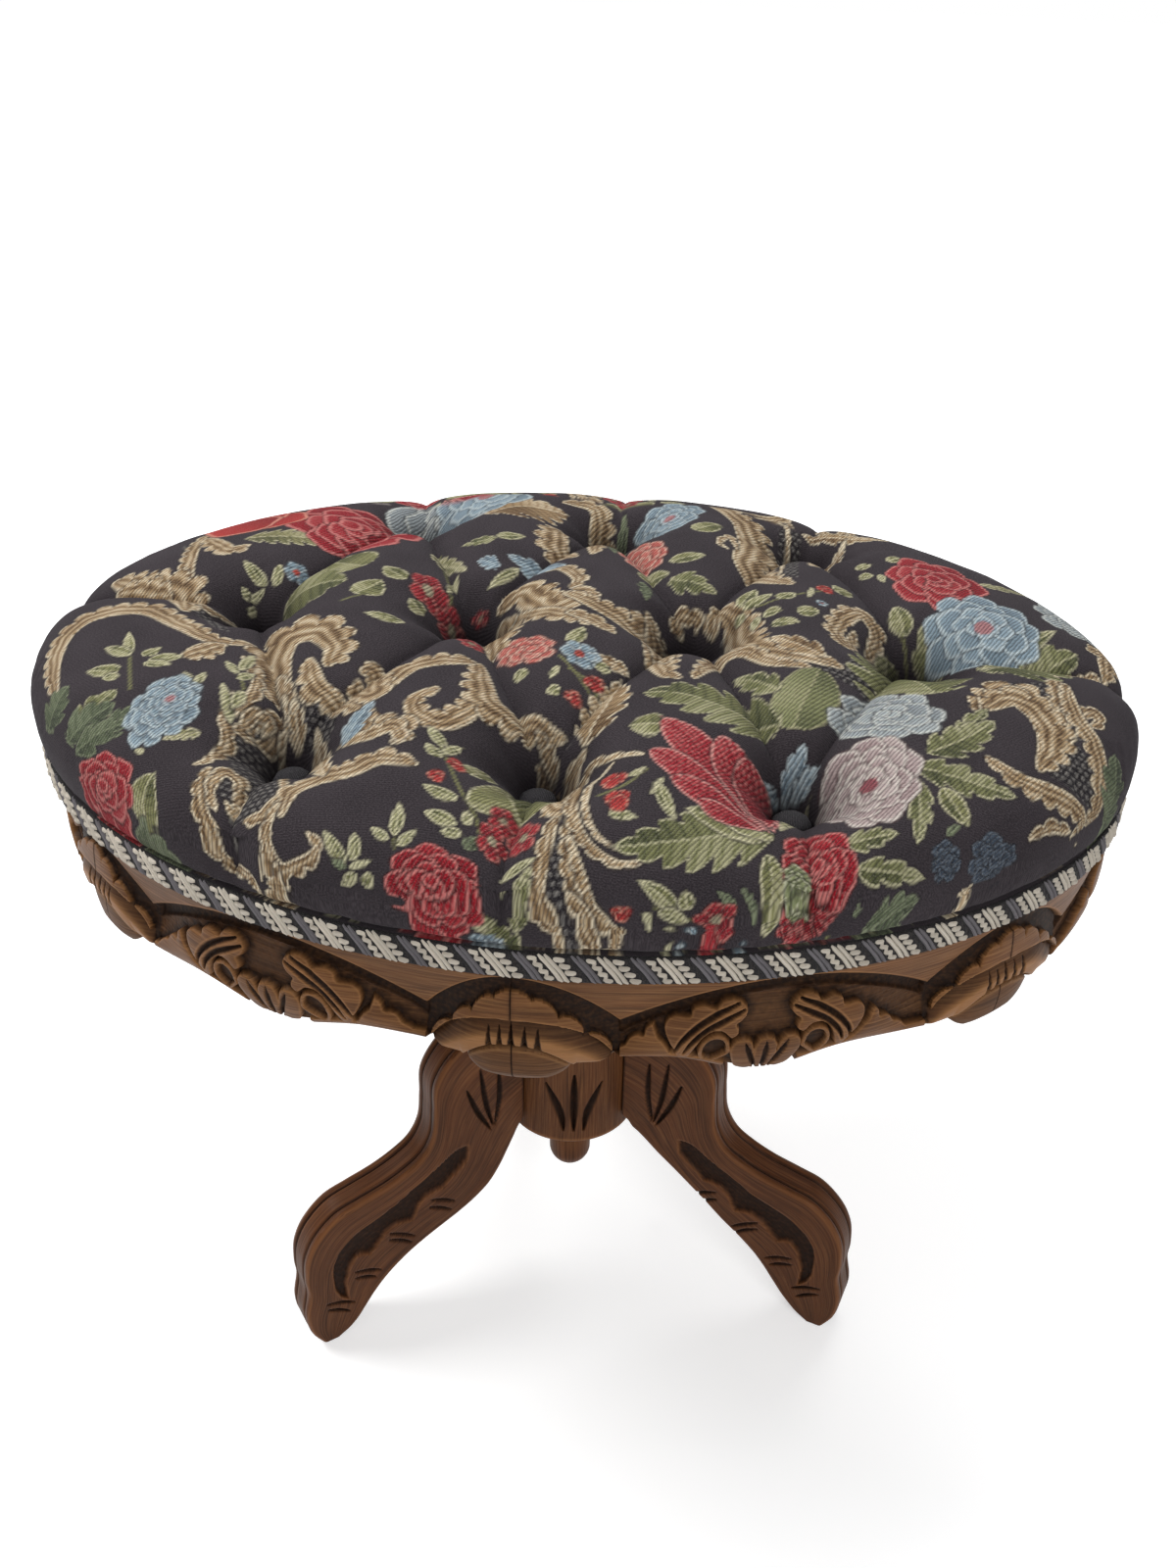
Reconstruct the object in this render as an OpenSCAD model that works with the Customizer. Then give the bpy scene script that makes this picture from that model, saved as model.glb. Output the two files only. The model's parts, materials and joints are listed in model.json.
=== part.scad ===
// Oval buttoned pouf on a carved three-legged pedestal.
// The origin is on the floor under the column. X is the long axis of the seat, Y points to its back, Z is up.

/* [Seat] */
// Length of the seat over its braid
seat_l = 584; // [460:2:700]
// Width of the seat over its braid
seat_w = 424; // [350:2:520]
// Height of the top edge of the apron above the floor
frame_h = 390; // [370:5:450]
// Thickness of the upholstered seat board
seat_board_t = 15; // [12:1:22]
// Thickness of the top board inside the apron
top_board_t = 18; // [12:1:24]

/* [Cushion] */
// Height of the crest of the cushion above the seat board
crown = 65; // [50:1:90]
// How far the cushion bulges out beyond the braid
bulge = 1; // [0.5:0.5:6]
// Height of the widest line of the cushion above the seat board
bulge_h = 18; // [14:1:26]
// Thickness of the foam pad under the wadding
foam_t = 14; // [8:1:16]
// Thickness of the cover where it passes behind the braid
cover_t = 2; // [1.5:0.5:3]
// Distance between tufts in a row
tuft_pitch = 117; // [90:1:125]
// Distance between rows of tufts
tuft_row = 132; // [90:1:140]
// Height of the bottom of a tuft above the seat board
tuft_h = 23; // [18:1:30]
// Radius of the dimple round a tuft
tuft_r = 44; // [30:1:50]

/* [Buttons] */
// Diameter of a covered button
button_d = 18; // [14:1:22]
// Height of a covered button
button_t = 7; // [5:1:9]
// Diameter of the twine that holds a button
twine_d = 2; // [1.5:0.5:3]
// Diameter of the knot under the seat board
knot_d = 8; // [6:1:9]
// Height of the knot
knot_t = 3; // [2:0.5:4]

/* [Braid] */
// Width of the braid
braid_w = 15; // [10:1:20]
// Thickness of the braid
braid_t = 2.5; // [1.5:0.5:4]

/* [Apron] */
// Number of repeats of the carving, and of apron segments
repeats = 6; // [6:6:6]
// Height of the apron where two panels meet
apron_h = 54; // [48:1:70]
// Length of the edge from the joint at the middle of the front, or of the back, to the next joint
side_joint = 248; // [225:1:285]
// How much lower the apron hangs at a fan panel
fan_drop = 13; // [6:1:18]
// How much lower the apron hangs at a leaf panel
leaf_drop = 8; // [2:1:12]
// Half the width of a fan panel, along the edge of the oval
fan_half = 49; // [40:1:60]
// Height of the moulding line where two panels meet, under the top edge
valley_drop = 31; // [24:1:40]
// Height of the moulding line at the middle of a panel, under the top edge
apex_drop = 6; // [4:1:10]
// Smallest thickness of the apron, where two panels meet
apron_t = 12; // [9:1:16]
// How far the apron is cut back where two panels meet
valley_depth = 11; // [8:1:16]
// Side of a glue block behind a joint of the apron
block_w = 30; // [20:1:40]
// Height of a glue block
block_h = 22; // [14:1:30]

/* [Pedestal] */
// Diameter of the column
column_d = 84; // [70:1:100]
// Height of the bottom of the column above the floor
column_z = 118; // [105:1:120]
// Diameter of the spigot on the column
spigot_d = 40; // [28:1:50]
// Diameter of the round cleat that joins the column to the top board
cleat_d = 190; // [150:1:230]
// Thickness of the cleat
cleat_t = 22; // [16:1:30]
// Length of the drop finial under the column
finial_l = 61; // [45:1:70]
// Diameter of the drop finial
finial_d = 27; // [20:1:32]
// Diameter of the spigot on the finial
finial_pin_d = 12; // [8:1:15]
// Length of the spigot on the finial
finial_pin_l = 18; // [10:1:25]

/* [Legs] */
// Distance from the axis of the column to the toe of a leg
leg_reach = 194; // [170:1:215]
// Height of the top of a leg
leg_top = 210; // [190:1:230]
// Thickness of a leg
leg_t = 22; // [18:1:28]
// Angle between the two front legs
leg_spread = 124; // [110:1:130]
// Turn of the pedestal against the long axis of the seat
pedestal_turn = 10.6; // [-30:0.1:30]
// Diameter of the dowels between a leg and the column
dowel_d = 8; // [6:1:10]
// Length of a dowel
dowel_l = 40; // [30:1:46]
// Height of the lower dowel
dowel_z = 145; // [140:1:155]
// Distance between the two dowels of a leg
dowel_gap = 40; // [30:1:46]

/* [Screws] */
// Diameter of the shank of a screw
screw_d = 5; // [4:0.5:6]
// Diameter of the head of a screw
screw_head_d = 9.5; // [9:0.5:12]
// Height of the conical head of a screw
screw_head_t = 3; // [2:0.5:4]
// Bite of a screw in the board above
screw_bite = 10; // [7:1:10]
// Number of screws through the cleat
cleat_screw_count = 6; // [4:1:8]
// Number of screws between the top board and the seat board, in each quarter of the oval
quarter_screw_count = 2; // [1:1:3]
// Place of the seat screws, as a share of the way from the column to the edge of the top board
seat_screw_place = 0.84; // [0.78:0.01:0.88]

/* [Fit] */
// Clearance round what fits in a hole or lies beside a neighbour
fit = 0.15; // [0.1:0.05:0.3]
// Clearance round the soft pieces
soft_gap = 0.3; // [0.2:0.1:0.6]

/* [Hidden] */

walnut = "sienna";
dark_walnut = "saddlebrown";
plain_wood = "burlywood";

half_l = seat_l / 2;
half_w = seat_w / 2;
seat_top = frame_h + seat_board_t;
crest = seat_top + crown;
braid_z = seat_top - braid_w;
// Oval offsets are counted inwards from the outside of the braid
cover_in = braid_t + soft_gap;
board_in = cover_in + cover_t + soft_gap;
// The foam stops short of the edge of the board by this
foam_margin = 4 * cover_t;
foam_in = board_in + foam_margin;
apron_top_in = 4;
oval_steps = 60;
oval_step = 360 / oval_steps;

// Length of the edge of the oval up to each angle, counted from the middle of the front
function oval_speed(angle) = norm([half_l * sin(angle), half_w * cos(angle)]) * PI / 180;
edge_table = [
    for (turn = 0, length = 0; turn <= 360; length = length + oval_speed(270.5 + turn), turn = turn + 1)
        [length, 270 + turn]
];
edge_l = edge_table[360][0];
// Places of the joints along the edge. The two segments at the ends of the oval are longer.
joint_places = [0, side_joint, edge_l / 2 - side_joint, edge_l / 2, edge_l / 2 + side_joint, edge_l - side_joint, edge_l];
apron_bottom = frame_h - apron_h;
fan_stations = 3;
leaf_stations = 8;
// Half the gap between two apron segments
joint_gap = 0.15;
apron_inner_in = valley_depth + apron_t + apron_top_in;

column_r = column_d / 2;
column_top = frame_h - top_board_t - cleat_t;
dowel_mid = column_r * 0.976;
leg_turns = [270 - leg_spread / 2, 270 + leg_spread / 2, 90];

tufts = [
    for (row = [-1:1])
        for (k = [0:(row == 0 ? 3 : 2)])
            [(k - (row == 0 ? 1.5 : 1)) * tuft_pitch, row * tuft_row]
];
tuft_z = seat_top + tuft_h;

// A point of the oval, drawn in by a distance, at an angle of the oval
function oval_point(angle, inset) = [(half_l - inset) * cos(angle), (half_w - inset) * sin(angle)];
function oval(inset) = [for (k = [0:oval_steps - 1]) oval_point(k * oval_step, inset)];
// Direction that points straight out of the oval
function oval_out(angle) = atan2(sin(angle) / half_w, cos(angle) / half_l);

// A smooth chain through points
function curve_point(a, b, c, d, t) =
    0.5 * (2 * b + (c - a) * t + (2 * a - 5 * b + 4 * c - d) * t * t + (3 * b - a - 3 * c + d) * t * t * t);
function chain(points, n) = [
    for (i = [0:len(points) - 2])
        for (k = [0:n - 1])
            curve_point(points[max(i - 1, 0)], points[i], points[i + 1],
                        points[min(i + 2, len(points) - 1)], k / n),
    points[len(points) - 1]
];

// Faces of a closed skin that runs round rows of points, with a cap on the first and the last row
function skin_faces(rows, n) = concat(
    [for (r = [0:rows - 2]) for (k = [0:n - 1])
        [r * n + k, r * n + (k + 1) % n, (r + 1) * n + k]],
    [for (r = [0:rows - 2]) for (k = [0:n - 1])
        [r * n + (k + 1) % n, (r + 1) * n + (k + 1) % n, (r + 1) * n + k]]);

module slab(inset, z, t) {
    translate([0, 0, z])
        linear_extrude(height = t)
            polygon(oval(inset));
}

module at_tufts() {
    for (p = tufts)
        translate([p[0], p[1], 0])
            children();
}

module round_profile(points, sides = 48) {
    rotate_extrude($fn = sides)
        polygon(points);
}

// Cushion

// One ring of the crown: up is 90 at the crest and 0 at the widest line
crown_power = 3;
crown_rings = 8;
function crown_ring(up) = [
    for (k = [0:oval_steps - 1])
        let (share = pow(cos(up), 2 / crown_power),
             rise = pow(sin(up), 2 / crown_power),
             p = oval_point(k * oval_step, -bulge))
        [p[0] * share, p[1] * share, seat_top + bulge_h + (crown - bulge_h) * rise]
];
function level_ring(inset, z) = [
    for (k = [0:oval_steps - 1])
        let (p = oval_point(k * oval_step, inset))
        [p[0], p[1], z]
];

module crowned_block() {
    rings = concat(
        [for (i = [1:crown_rings]) crown_ring(90 - 90 * i / crown_rings)],
        [level_ring(-bulge * 0.7, seat_top + bulge_h * 0.4), level_ring(0, seat_top + soft_gap),
         level_ring(cover_in, seat_top), level_ring(cover_in, braid_z)]);
    rows = len(rings);
    points = concat([for (ring = rings) for (p = ring) p], [[0, 0, crest], [0, 0, braid_z]]);
    top = rows * oval_steps;
    last = (rows - 1) * oval_steps;
    polyhedron(points, concat(
        [for (f = skin_faces(rows, oval_steps)) f],
        [for (k = [0:oval_steps - 1]) [top, (k + 1) % oval_steps, k]],
        [for (k = [0:oval_steps - 1]) [top + 1, last + k, last + (k + 1) % oval_steps]]), convexity = 4);
}

// The dimple drawn in by a button, as a flared throat
module dimple() {
    floor_r = button_d / 2 + 1;
    depth = crown - tuft_h;
    translate([0, 0, tuft_z])
        round_profile([[0, 0], [floor_r, 0], [tuft_r * 0.36, depth * 0.4], [tuft_r * 0.6, depth * 0.75],
                       [tuft_r, depth + 1], [0, depth + 1]], 16);
}

module tufted_cover() {
    color("dimgray")
        difference() {
            crowned_block();
            slab(board_in - soft_gap, braid_z - 1, seat_top - braid_z + foam_t + 2 * soft_gap + 1);
            at_tufts()
                dimple();
            at_tufts()
                translate([0, 0, seat_top])
                    cylinder(h = crown, d = twine_d + 2 * fit, $fn = 16);
        }
}

module foam_pad() {
    color("ivory")
        difference() {
            slab(foam_in, seat_top + soft_gap / 2, foam_t);
            at_tufts()
                translate([0, 0, seat_top - 1])
                    cylinder(h = foam_t + 3, d = twine_d + 2 * soft_gap, $fn = 16);
        }
}

module covered_buttons() {
    r = button_d / 2;
    color("slategray")
        at_tufts()
            translate([0, 0, tuft_z + fit])
                round_profile([[0, 0], [r * 0.8, 0], [r, button_t * 0.25], [r * 0.9, button_t * 0.6],
                               [r * 0.5, button_t * 0.93], [0, button_t]], 24);
}

module button_twine() {
    knot_z = frame_h + seat_board_t / 3 - knot_t;
    sunk = knot_t / 6;
    color("tan")
        at_tufts() {
            translate([0, 0, knot_z + knot_t - sunk])
                cylinder(h = tuft_z + fit - knot_z - knot_t + sunk, d = twine_d, $fn = 16);
            translate([0, 0, knot_z])
                cylinder(h = knot_t, d = knot_d, $fn = 24);
        }
}

module seat_board() {
    color(plain_wood)
        difference() {
            slab(board_in, frame_h, seat_board_t);
            at_tufts() {
                translate([0, 0, frame_h - 1])
                    cylinder(h = seat_board_t + 2, d = twine_d + 2 * fit, $fn = 16);
                translate([0, 0, frame_h - 1])
                    cylinder(h = seat_board_t / 3 + 1, d = knot_d * 1.125, $fn = 24);
            }
            at_seat_screws()
                cylinder(h = screw_bite + fit, d = screw_d + 2 * fit, $fn = 24);
        }
}

module braid_trim() {
    color("gray")
        difference() {
            slab(0, braid_z, braid_w);
            slab(braid_t, braid_z - 1, braid_w + 2);
        }
}

// Frame

module at_seat_screws() {
    for (k = [0:4 * quarter_screw_count - 1])
        let (angle = 90 * (k + 0.5) / quarter_screw_count,
             p = oval_point(angle, apron_inner_in))
            translate([p[0] * seat_screw_place, p[1] * seat_screw_place, frame_h])
                children();
}

module at_cleat_screws() {
    for (k = [0:cleat_screw_count - 1])
        rotate([0, 0, 360 * (k + 0.5) / cleat_screw_count])
            translate([(cleat_d + column_d) / 4 + screw_head_d / 2, 0, frame_h - top_board_t])
                children();
}

// A countersunk screw that points up, its thread root plain, with z = 0 at the face between the boards
module screw(below) {
    round_profile([[0, -below], [screw_head_d / 2, -below], [screw_d / 2, screw_head_t - below],
                   [screw_d / 2, screw_bite * 0.9], [screw_d / 4, screw_bite], [0, screw_bite]], 24);
}

module screw_hole(below) {
    cylinder(h = 2 * below, d = screw_d + 2 * fit, center = true, $fn = 24);
    translate([0, 0, -below - 1])
        cylinder(h = 1 + fit, r = screw_head_d / 2 + fit, $fn = 24);
    translate([0, 0, fit - below])
        cylinder(h = screw_head_t, r1 = screw_head_d / 2 + fit, r2 = screw_d / 2 + fit, $fn = 24);
}

module top_board() {
    color(plain_wood)
        difference() {
            slab(apron_inner_in + fit, frame_h - top_board_t, top_board_t - fit);
            at_seat_screws()
                screw_hole(top_board_t);
            at_cleat_screws()
                cylinder(h = screw_bite + fit, d = screw_d + 2 * fit, $fn = 24);
        }
}

// Shape of the carved face of the apron. share runs from 0 to 1 along a segment, from one fan panel to the next,
// and valley is the share at which the first fan panel meets the leaf panel.
function in_fan(share, valley) = min(share, 1 - share) < valley;
function off_middle(share, valley) =
    in_fan(share, valley) ? min(share, 1 - share) / valley : abs(share - 0.5) / (0.5 - valley);

// Points down the face at one station: [inset from the braid, height]
function face_down(share, valley) =
    let (arch = 1 - pow(off_middle(share, valley), 2),
         full = 0.5 - 0.5 * cos(180 * arch),
         line_z = frame_h - valley_drop + (valley_drop - apex_drop) * arch,
         low_z = apron_bottom - (in_fan(share, valley) ? fan_drop : leaf_drop) * full,
         line_in = valley_depth - (valley_depth - apron_top_in - 1) * arch,
         belly_in = valley_depth - (valley_depth - apron_top_in + 1) * full,
         roll_in = valley_depth - 2 - (valley_depth - 2 - apron_top_in) * full,
         lip_in = valley_depth - 3)
    [
        [apron_top_in, frame_h],
        [line_in, line_z],
        [line_in + 2, line_z - 3],
        [belly_in, low_z + (line_z - low_z) * 0.58],
        [roll_in, low_z + (line_z - low_z) * 0.28],
        [lip_in, low_z + 4],
        [lip_in + 4, low_z],
        [apron_inner_in, low_z],
        [apron_inner_in, frame_h]
    ];

module apron_segment(number) {
    start = joint_places[number - 1];
    segment_l = joint_places[number] - start;
    valley = fan_half / segment_l;
    stations = concat(
        [for (i = [0:fan_stations - 1]) valley * i / fan_stations],
        [for (i = [0:leaf_stations]) valley + (1 - 2 * valley) * i / leaf_stations],
        [for (i = [fan_stations - 1:-1:0]) 1 - valley * i / fan_stations]);
    rows = [
        for (share = stations)
            let (angle = lookup(start + joint_gap + (segment_l - 2 * joint_gap) * share, edge_table))
            [for (q = face_down(share, valley)) let (p = oval_point(angle, q[0])) [p[0], p[1], q[1]]]
    ];
    n = len(rows[0]);
    last = len(rows) - 1;
    color(walnut)
        polyhedron([for (row = rows) for (p = row) p], concat(
            [for (f = skin_faces(len(rows), n)) [f[2], f[1], f[0]]],
            [[for (k = [0:n - 1]) k]],
            [[for (k = [n - 1:-1:0]) last * n + k]]), convexity = 6);
}

module apron_segment_1() {
    apron_segment(1);
}

module apron_segment_2() {
    apron_segment(2);
}

module apron_segment_3() {
    apron_segment(3);
}

module apron_segment_4() {
    apron_segment(4);
}

module apron_segment_5() {
    apron_segment(5);
}

module apron_segment_6() {
    apron_segment(6);
}

module glue_blocks() {
    // The inside of the apron turns away from a flat block by this much over half its width
    relief = block_w / 2 * sin(oval_step / 2) + fit;
    color(plain_wood)
        for (k = [0:repeats - 1])
            let (angle = lookup(joint_places[k], edge_table),
                 p = oval_point(angle, apron_inner_in))
                translate([p[0], p[1], frame_h - top_board_t - block_h])
                    rotate([0, 0, oval_out(angle)])
                        translate([-block_w - relief, -block_w / 2, 0])
                            cube([block_w, block_w, block_h - fit]);
}

// Pedestal

module mounting_cleat() {
    color(plain_wood)
        difference() {
            translate([0, 0, column_top])
                cylinder(h = cleat_t, d = cleat_d, $fn = 96);
            translate([0, 0, column_top - 1])
                cylinder(h = cleat_t + 2, d = spigot_d + 2 * fit, $fn = 64);
            at_cleat_screws()
                screw_hole(cleat_t);
        }
}

module cleat_screws() {
    color("goldenrod")
        at_cleat_screws()
            screw(cleat_t);
}

module seat_screws() {
    color("goldenrod")
        at_seat_screws()
            screw(top_board_t);
}

// Places a child at the middle of each dowel of one leg
module at_leg_dowels(turn) {
    rotate([0, 0, turn + pedestal_turn])
        for (z = [dowel_z, dowel_z + dowel_gap])
            translate([dowel_mid, 0, z])
                rotate([0, 90, 0])
                    children();
}

module column() {
    color(dark_walnut)
        difference() {
            round_profile([[0, column_z], [column_r, column_z], [column_r, column_top - fit],
                           [spigot_d / 2, column_top - fit], [spigot_d / 2, column_top + cleat_t - fit],
                           [0, column_top + cleat_t - fit]], 96);
            translate([0, 0, column_z - 1])
                cylinder(h = finial_pin_l + 1 + fit, d = finial_pin_d + 2 * fit, $fn = 32);
            for (turn = leg_turns)
                at_leg_dowels(turn)
                    cylinder(h = dowel_l + 2 * fit, d = dowel_d + 2 * fit, center = true, $fn = 32);
        }
}

module finial() {
    r = finial_d / 2;
    waist = r * 0.8;
    shoulder_z = finial_l * 0.5;
    arc = [for (a = [0:15:90]) [r * cos(a), r - r * sin(a)]];
    color(dark_walnut)
        translate([0, 0, column_z - finial_l])
            round_profile(concat([for (i = [len(arc) - 1:-1:0]) arc[i]],
                [[r, shoulder_z - 3], [r - 1.5, shoulder_z], [waist, shoulder_z + 2],
                 [waist, finial_l - 4], [r, finial_l - 2], [r, finial_l - fit],
                 [finial_pin_d / 2, finial_l - fit], [finial_pin_d / 2, finial_l + finial_pin_l],
                 [0, finial_l + finial_pin_l]]), 48);
}

// Outline of a leg as shares: 0 to 1 from the column to the toe, and from the floor to the top
leg_front = [[0.00, 1.000], [0.12, 0.995], [0.27, 0.945], [0.37, 0.850], [0.37, 0.715], [0.42, 0.600],
             [0.58, 0.515], [0.83, 0.480], [0.947, 0.395], [0.974, 0.290], [0.972, 0.220], [1.00, 0.135],
             [0.993, 0.065], [0.96, 0.000]];
leg_back = [[0.885, 0.000], [0.81, 0.055], [0.71, 0.140], [0.57, 0.240], [0.38, 0.340], [0.22, 0.420],
            [0.085, 0.510], [0.00, 0.595]];
function leg_place(q) = [column_r + (leg_reach - column_r) * q[0], leg_top * q[1]];

module leg(turn) {
    inside = column_r * 0.86;
    outline = concat(
        [[inside, leg_place(leg_front[0])[1]]],
        chain([for (q = leg_front) leg_place(q)], 4),
        chain([for (q = leg_back) leg_place(q)], 3),
        [[inside, leg_place(leg_back[len(leg_back) - 1])[1]]]);
    color(dark_walnut)
        difference() {
            rotate([0, 0, turn + pedestal_turn])
                translate([0, leg_t / 2, 0])
                    rotate([90, 0, 0])
                        linear_extrude(height = leg_t)
                            polygon(outline);
            translate([0, 0, -1])
                cylinder(h = leg_top + 2, r = column_r + fit, $fn = 96);
            at_leg_dowels(turn)
                cylinder(h = dowel_l + 2 * fit, d = dowel_d + 2 * fit, center = true, $fn = 32);
        }
}

module leg_front_left() {
    leg(leg_turns[0]);
}

module leg_front_right() {
    leg(leg_turns[1]);
}

module leg_rear() {
    leg(leg_turns[2]);
}

module leg_dowels() {
    color(plain_wood)
        for (turn = leg_turns)
            at_leg_dowels(turn)
                cylinder(h = dowel_l, d = dowel_d, center = true, $fn = 32);
}

tufted_cover();
foam_pad();
covered_buttons();
button_twine();
seat_board();
braid_trim();
top_board();
apron_segment_1();
apron_segment_2();
apron_segment_3();
apron_segment_4();
apron_segment_5();
apron_segment_6();
glue_blocks();
mounting_cleat();
cleat_screws();
seat_screws();
column();
finial();
leg_front_left();
leg_front_right();
leg_rear();
leg_dowels();
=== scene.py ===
"""Oval buttoned pouf on a carved three-legged pedestal: its visible pieces, finishes and stage.

Lengths are in millimetres, with z up from the floor and the front at negative y, and MM turns them
into metres. Materials, lamps and the camera are set in metres.
"""

import json
import math

import bpy
import numpy as np
from mathutils import Matrix, Vector

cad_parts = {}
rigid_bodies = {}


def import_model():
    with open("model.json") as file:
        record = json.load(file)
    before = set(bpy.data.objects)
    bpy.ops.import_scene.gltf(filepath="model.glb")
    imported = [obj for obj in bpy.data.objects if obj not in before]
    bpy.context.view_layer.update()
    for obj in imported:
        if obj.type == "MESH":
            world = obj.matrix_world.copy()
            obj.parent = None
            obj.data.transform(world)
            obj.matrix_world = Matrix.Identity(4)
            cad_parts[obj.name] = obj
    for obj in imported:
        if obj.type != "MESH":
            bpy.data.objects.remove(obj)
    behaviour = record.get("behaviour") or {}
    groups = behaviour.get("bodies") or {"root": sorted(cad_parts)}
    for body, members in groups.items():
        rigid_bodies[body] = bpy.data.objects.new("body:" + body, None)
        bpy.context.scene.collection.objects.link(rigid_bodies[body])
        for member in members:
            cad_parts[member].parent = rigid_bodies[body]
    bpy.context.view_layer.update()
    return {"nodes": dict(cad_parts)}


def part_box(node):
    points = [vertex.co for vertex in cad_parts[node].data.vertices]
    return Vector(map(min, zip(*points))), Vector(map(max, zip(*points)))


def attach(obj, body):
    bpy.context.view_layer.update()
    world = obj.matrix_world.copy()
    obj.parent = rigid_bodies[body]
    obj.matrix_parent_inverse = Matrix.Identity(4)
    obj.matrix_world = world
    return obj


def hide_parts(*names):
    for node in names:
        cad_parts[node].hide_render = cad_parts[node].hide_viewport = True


bl_info = {
    "name": "Buttoned pouf",
    "version": (1, 0, 0),
    "blender": (4, 5, 0),
    "location": "View3D > Sidebar > Pouf",
    "description": "Builds the visible pieces of an oval buttoned pouf around its packed frame",
    "category": "Object",
}

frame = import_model()
MM = 0.001


def cad(node):
    """Lowest and highest corner of a CAD node, in millimetres."""
    low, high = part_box(node)
    return np.array(low) / MM, np.array(high) / MM


BRAID_LOW, BRAID_HIGH = cad("braid_trim")
COVER_HIGH = cad("tufted_cover")[1]
COLUMN_LOW, COLUMN_HIGH = cad("column")
FINIAL_LOW, FINIAL_HIGH = cad("finial")
BUTTON_LOW, BUTTON_HIGH = cad("covered_buttons")
FOAM_LOW, FOAM_HIGH = cad("foam_pad")


# Sizes and colours that a user would change

def length(label, words, value):
    return bpy.props.FloatProperty(
        name=label, description=words, default=value, subtype="DISTANCE", unit="LENGTH")


class PoufSizes(bpy.types.PropertyGroup):
    """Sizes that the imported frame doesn't give. All others are read from its nodes."""

    crease: length("Crease depth", "Depth of the pleats between two buttons", 0.023)
    carving: length("Carving depth", "Depth of the sunk ground of the carving", 0.0045)
    leg_thickness: length("Leg thickness", "Thickness of a leg between its broad faces", 0.025)
    braid_repeats: bpy.props.IntProperty(
        name="Braid repeats", description="Number of repeats of the braid's pattern round the seat",
        default=62, min=20, max=120)


def colour(label, words, value):
    return bpy.props.FloatVectorProperty(
        name=label, description=words, default=value, size=3, min=0.0, max=1.0, subtype="COLOR")


class PoufColours(bpy.types.PropertyGroup):
    """Colours of the finishes, in linear values."""

    ground: colour("Cloth ground", "Dark chenille between the flowers", (0.028, 0.0228, 0.0258))
    walnut: colour("Walnut", "Stained walnut on the flat of the carving", (0.165, 0.066, 0.023))
    # walnut_light is the light grain, and also the colour laid on lightened edges, which is partly
    # wear and partly painted highlight
    walnut_light: colour("Worn walnut", "Walnut where the stain is rubbed", (0.39, 0.185, 0.068))
    # walnut_dark is the dark of the pores, and also fills recesses, cuts and coves, partly as
    # stained wood and partly as painted shade
    walnut_dark: colour("Walnut recess", "Stain left in the recesses", (0.011, 0.0048, 0.0026))
    cream: colour("Braid cream", "Light yarn of the braid", (0.97, 0.87, 0.73))
    grey: colour("Braid grey", "Middle yarn of the braid", (0.24, 0.22, 0.235))
    black: colour("Braid dark", "Dark yarn of the braid", (0.012, 0.011, 0.013))
    beech: colour("Plain wood", "Unstained wood of the boards and blocks", (0.52, 0.36, 0.20))
    brass: colour("Screws", "Yellow metal of the screws", (0.55, 0.40, 0.14))


def sizes():
    return bpy.context.scene.pouf_sizes


def colours():
    return bpy.context.scene.pouf_colours


# Helpers for meshes

def deselect():
    if bpy.context.object and bpy.context.object.mode != "OBJECT":
        bpy.ops.object.mode_set(mode="OBJECT")
    bpy.ops.object.select_all(action="DESELECT")


def use(obj):
    """Makes obj the only selected and the active object."""
    deselect()
    obj.select_set(True)
    bpy.context.view_layer.objects.active = obj


def take(name):
    """Names the object that an operator has just added, and its mesh."""
    obj = bpy.context.object
    obj.name = name
    obj.data.name = name
    return obj


def read(items, key, size=1, kind=np.float32):
    """The values of one key of all items."""
    values = np.empty(len(items) * size, kind)
    items.foreach_get(key, values)
    return values.reshape(-1, size) if size > 1 else values


def points_of(obj):
    return read(obj.data.vertices, "co", 3).astype(float) / MM


def set_points(obj, points):
    obj.data.vertices.foreach_set("co", (np.asarray(points) * MM).astype(np.float32).ravel())
    obj.data.update()


def normals_of(obj):
    return read(obj.data.vertex_normals, "vector", 3).astype(float)


def apply_modifier(obj, kind, **settings):
    use(obj)
    modifier = obj.modifiers.new(kind.title(), kind)
    for key, value in settings.items():
        setattr(modifier, key, value)
    bpy.ops.object.modifier_apply(modifier=modifier.name)


def in_edit_mode(*steps):
    """Runs edit-mode steps on what is selected in the active object."""
    bpy.ops.object.mode_set(mode="EDIT")
    for run, settings in steps:
        run(**settings)
    bpy.ops.object.mode_set(mode="OBJECT")


def edit(obj, *steps):
    """Runs edit-mode steps on all of obj."""
    use(obj)
    in_edit_mode((bpy.ops.mesh.select_all, {"action": "SELECT"}), *steps)


def face_out(obj):
    edit(obj, (bpy.ops.mesh.normals_make_consistent, {"inside": False}))


def add_object(name, data):
    obj = bpy.data.objects.new(name, data)
    bpy.context.scene.collection.objects.link(obj)
    return obj


def mesh_piece(name, points, faces, edges=()):
    mesh = bpy.data.meshes.new(name)
    mesh.from_pydata((np.asarray(points) * MM).tolist(), edges, faces)
    mesh.update()
    return add_object(name, mesh)


def tube_faces(rows, columns):
    """Quads of a skin over rows of points that each close on themselves, and a cap at both ends."""
    r = np.arange(rows - 1)[:, None]
    c = np.arange(columns)[None, :]
    a = r * columns + c
    b = r * columns + (c + 1) % columns
    faces = np.stack([a, b, b + columns, a + columns], -1).reshape(-1, 4).tolist()
    faces.append(list(range(columns))[::-1])
    faces.append(list(range((rows - 1) * columns, rows * columns)))
    return faces


def attribute(obj, name, values, kind="FLOAT"):
    made = obj.data.attributes.new(name, kind, "POINT")
    key = {"FLOAT": "value", "FLOAT_COLOR": "color", "FLOAT_VECTOR": "vector"}[kind]
    made.data.foreach_set(key, np.asarray(values, np.float32).ravel())


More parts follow.
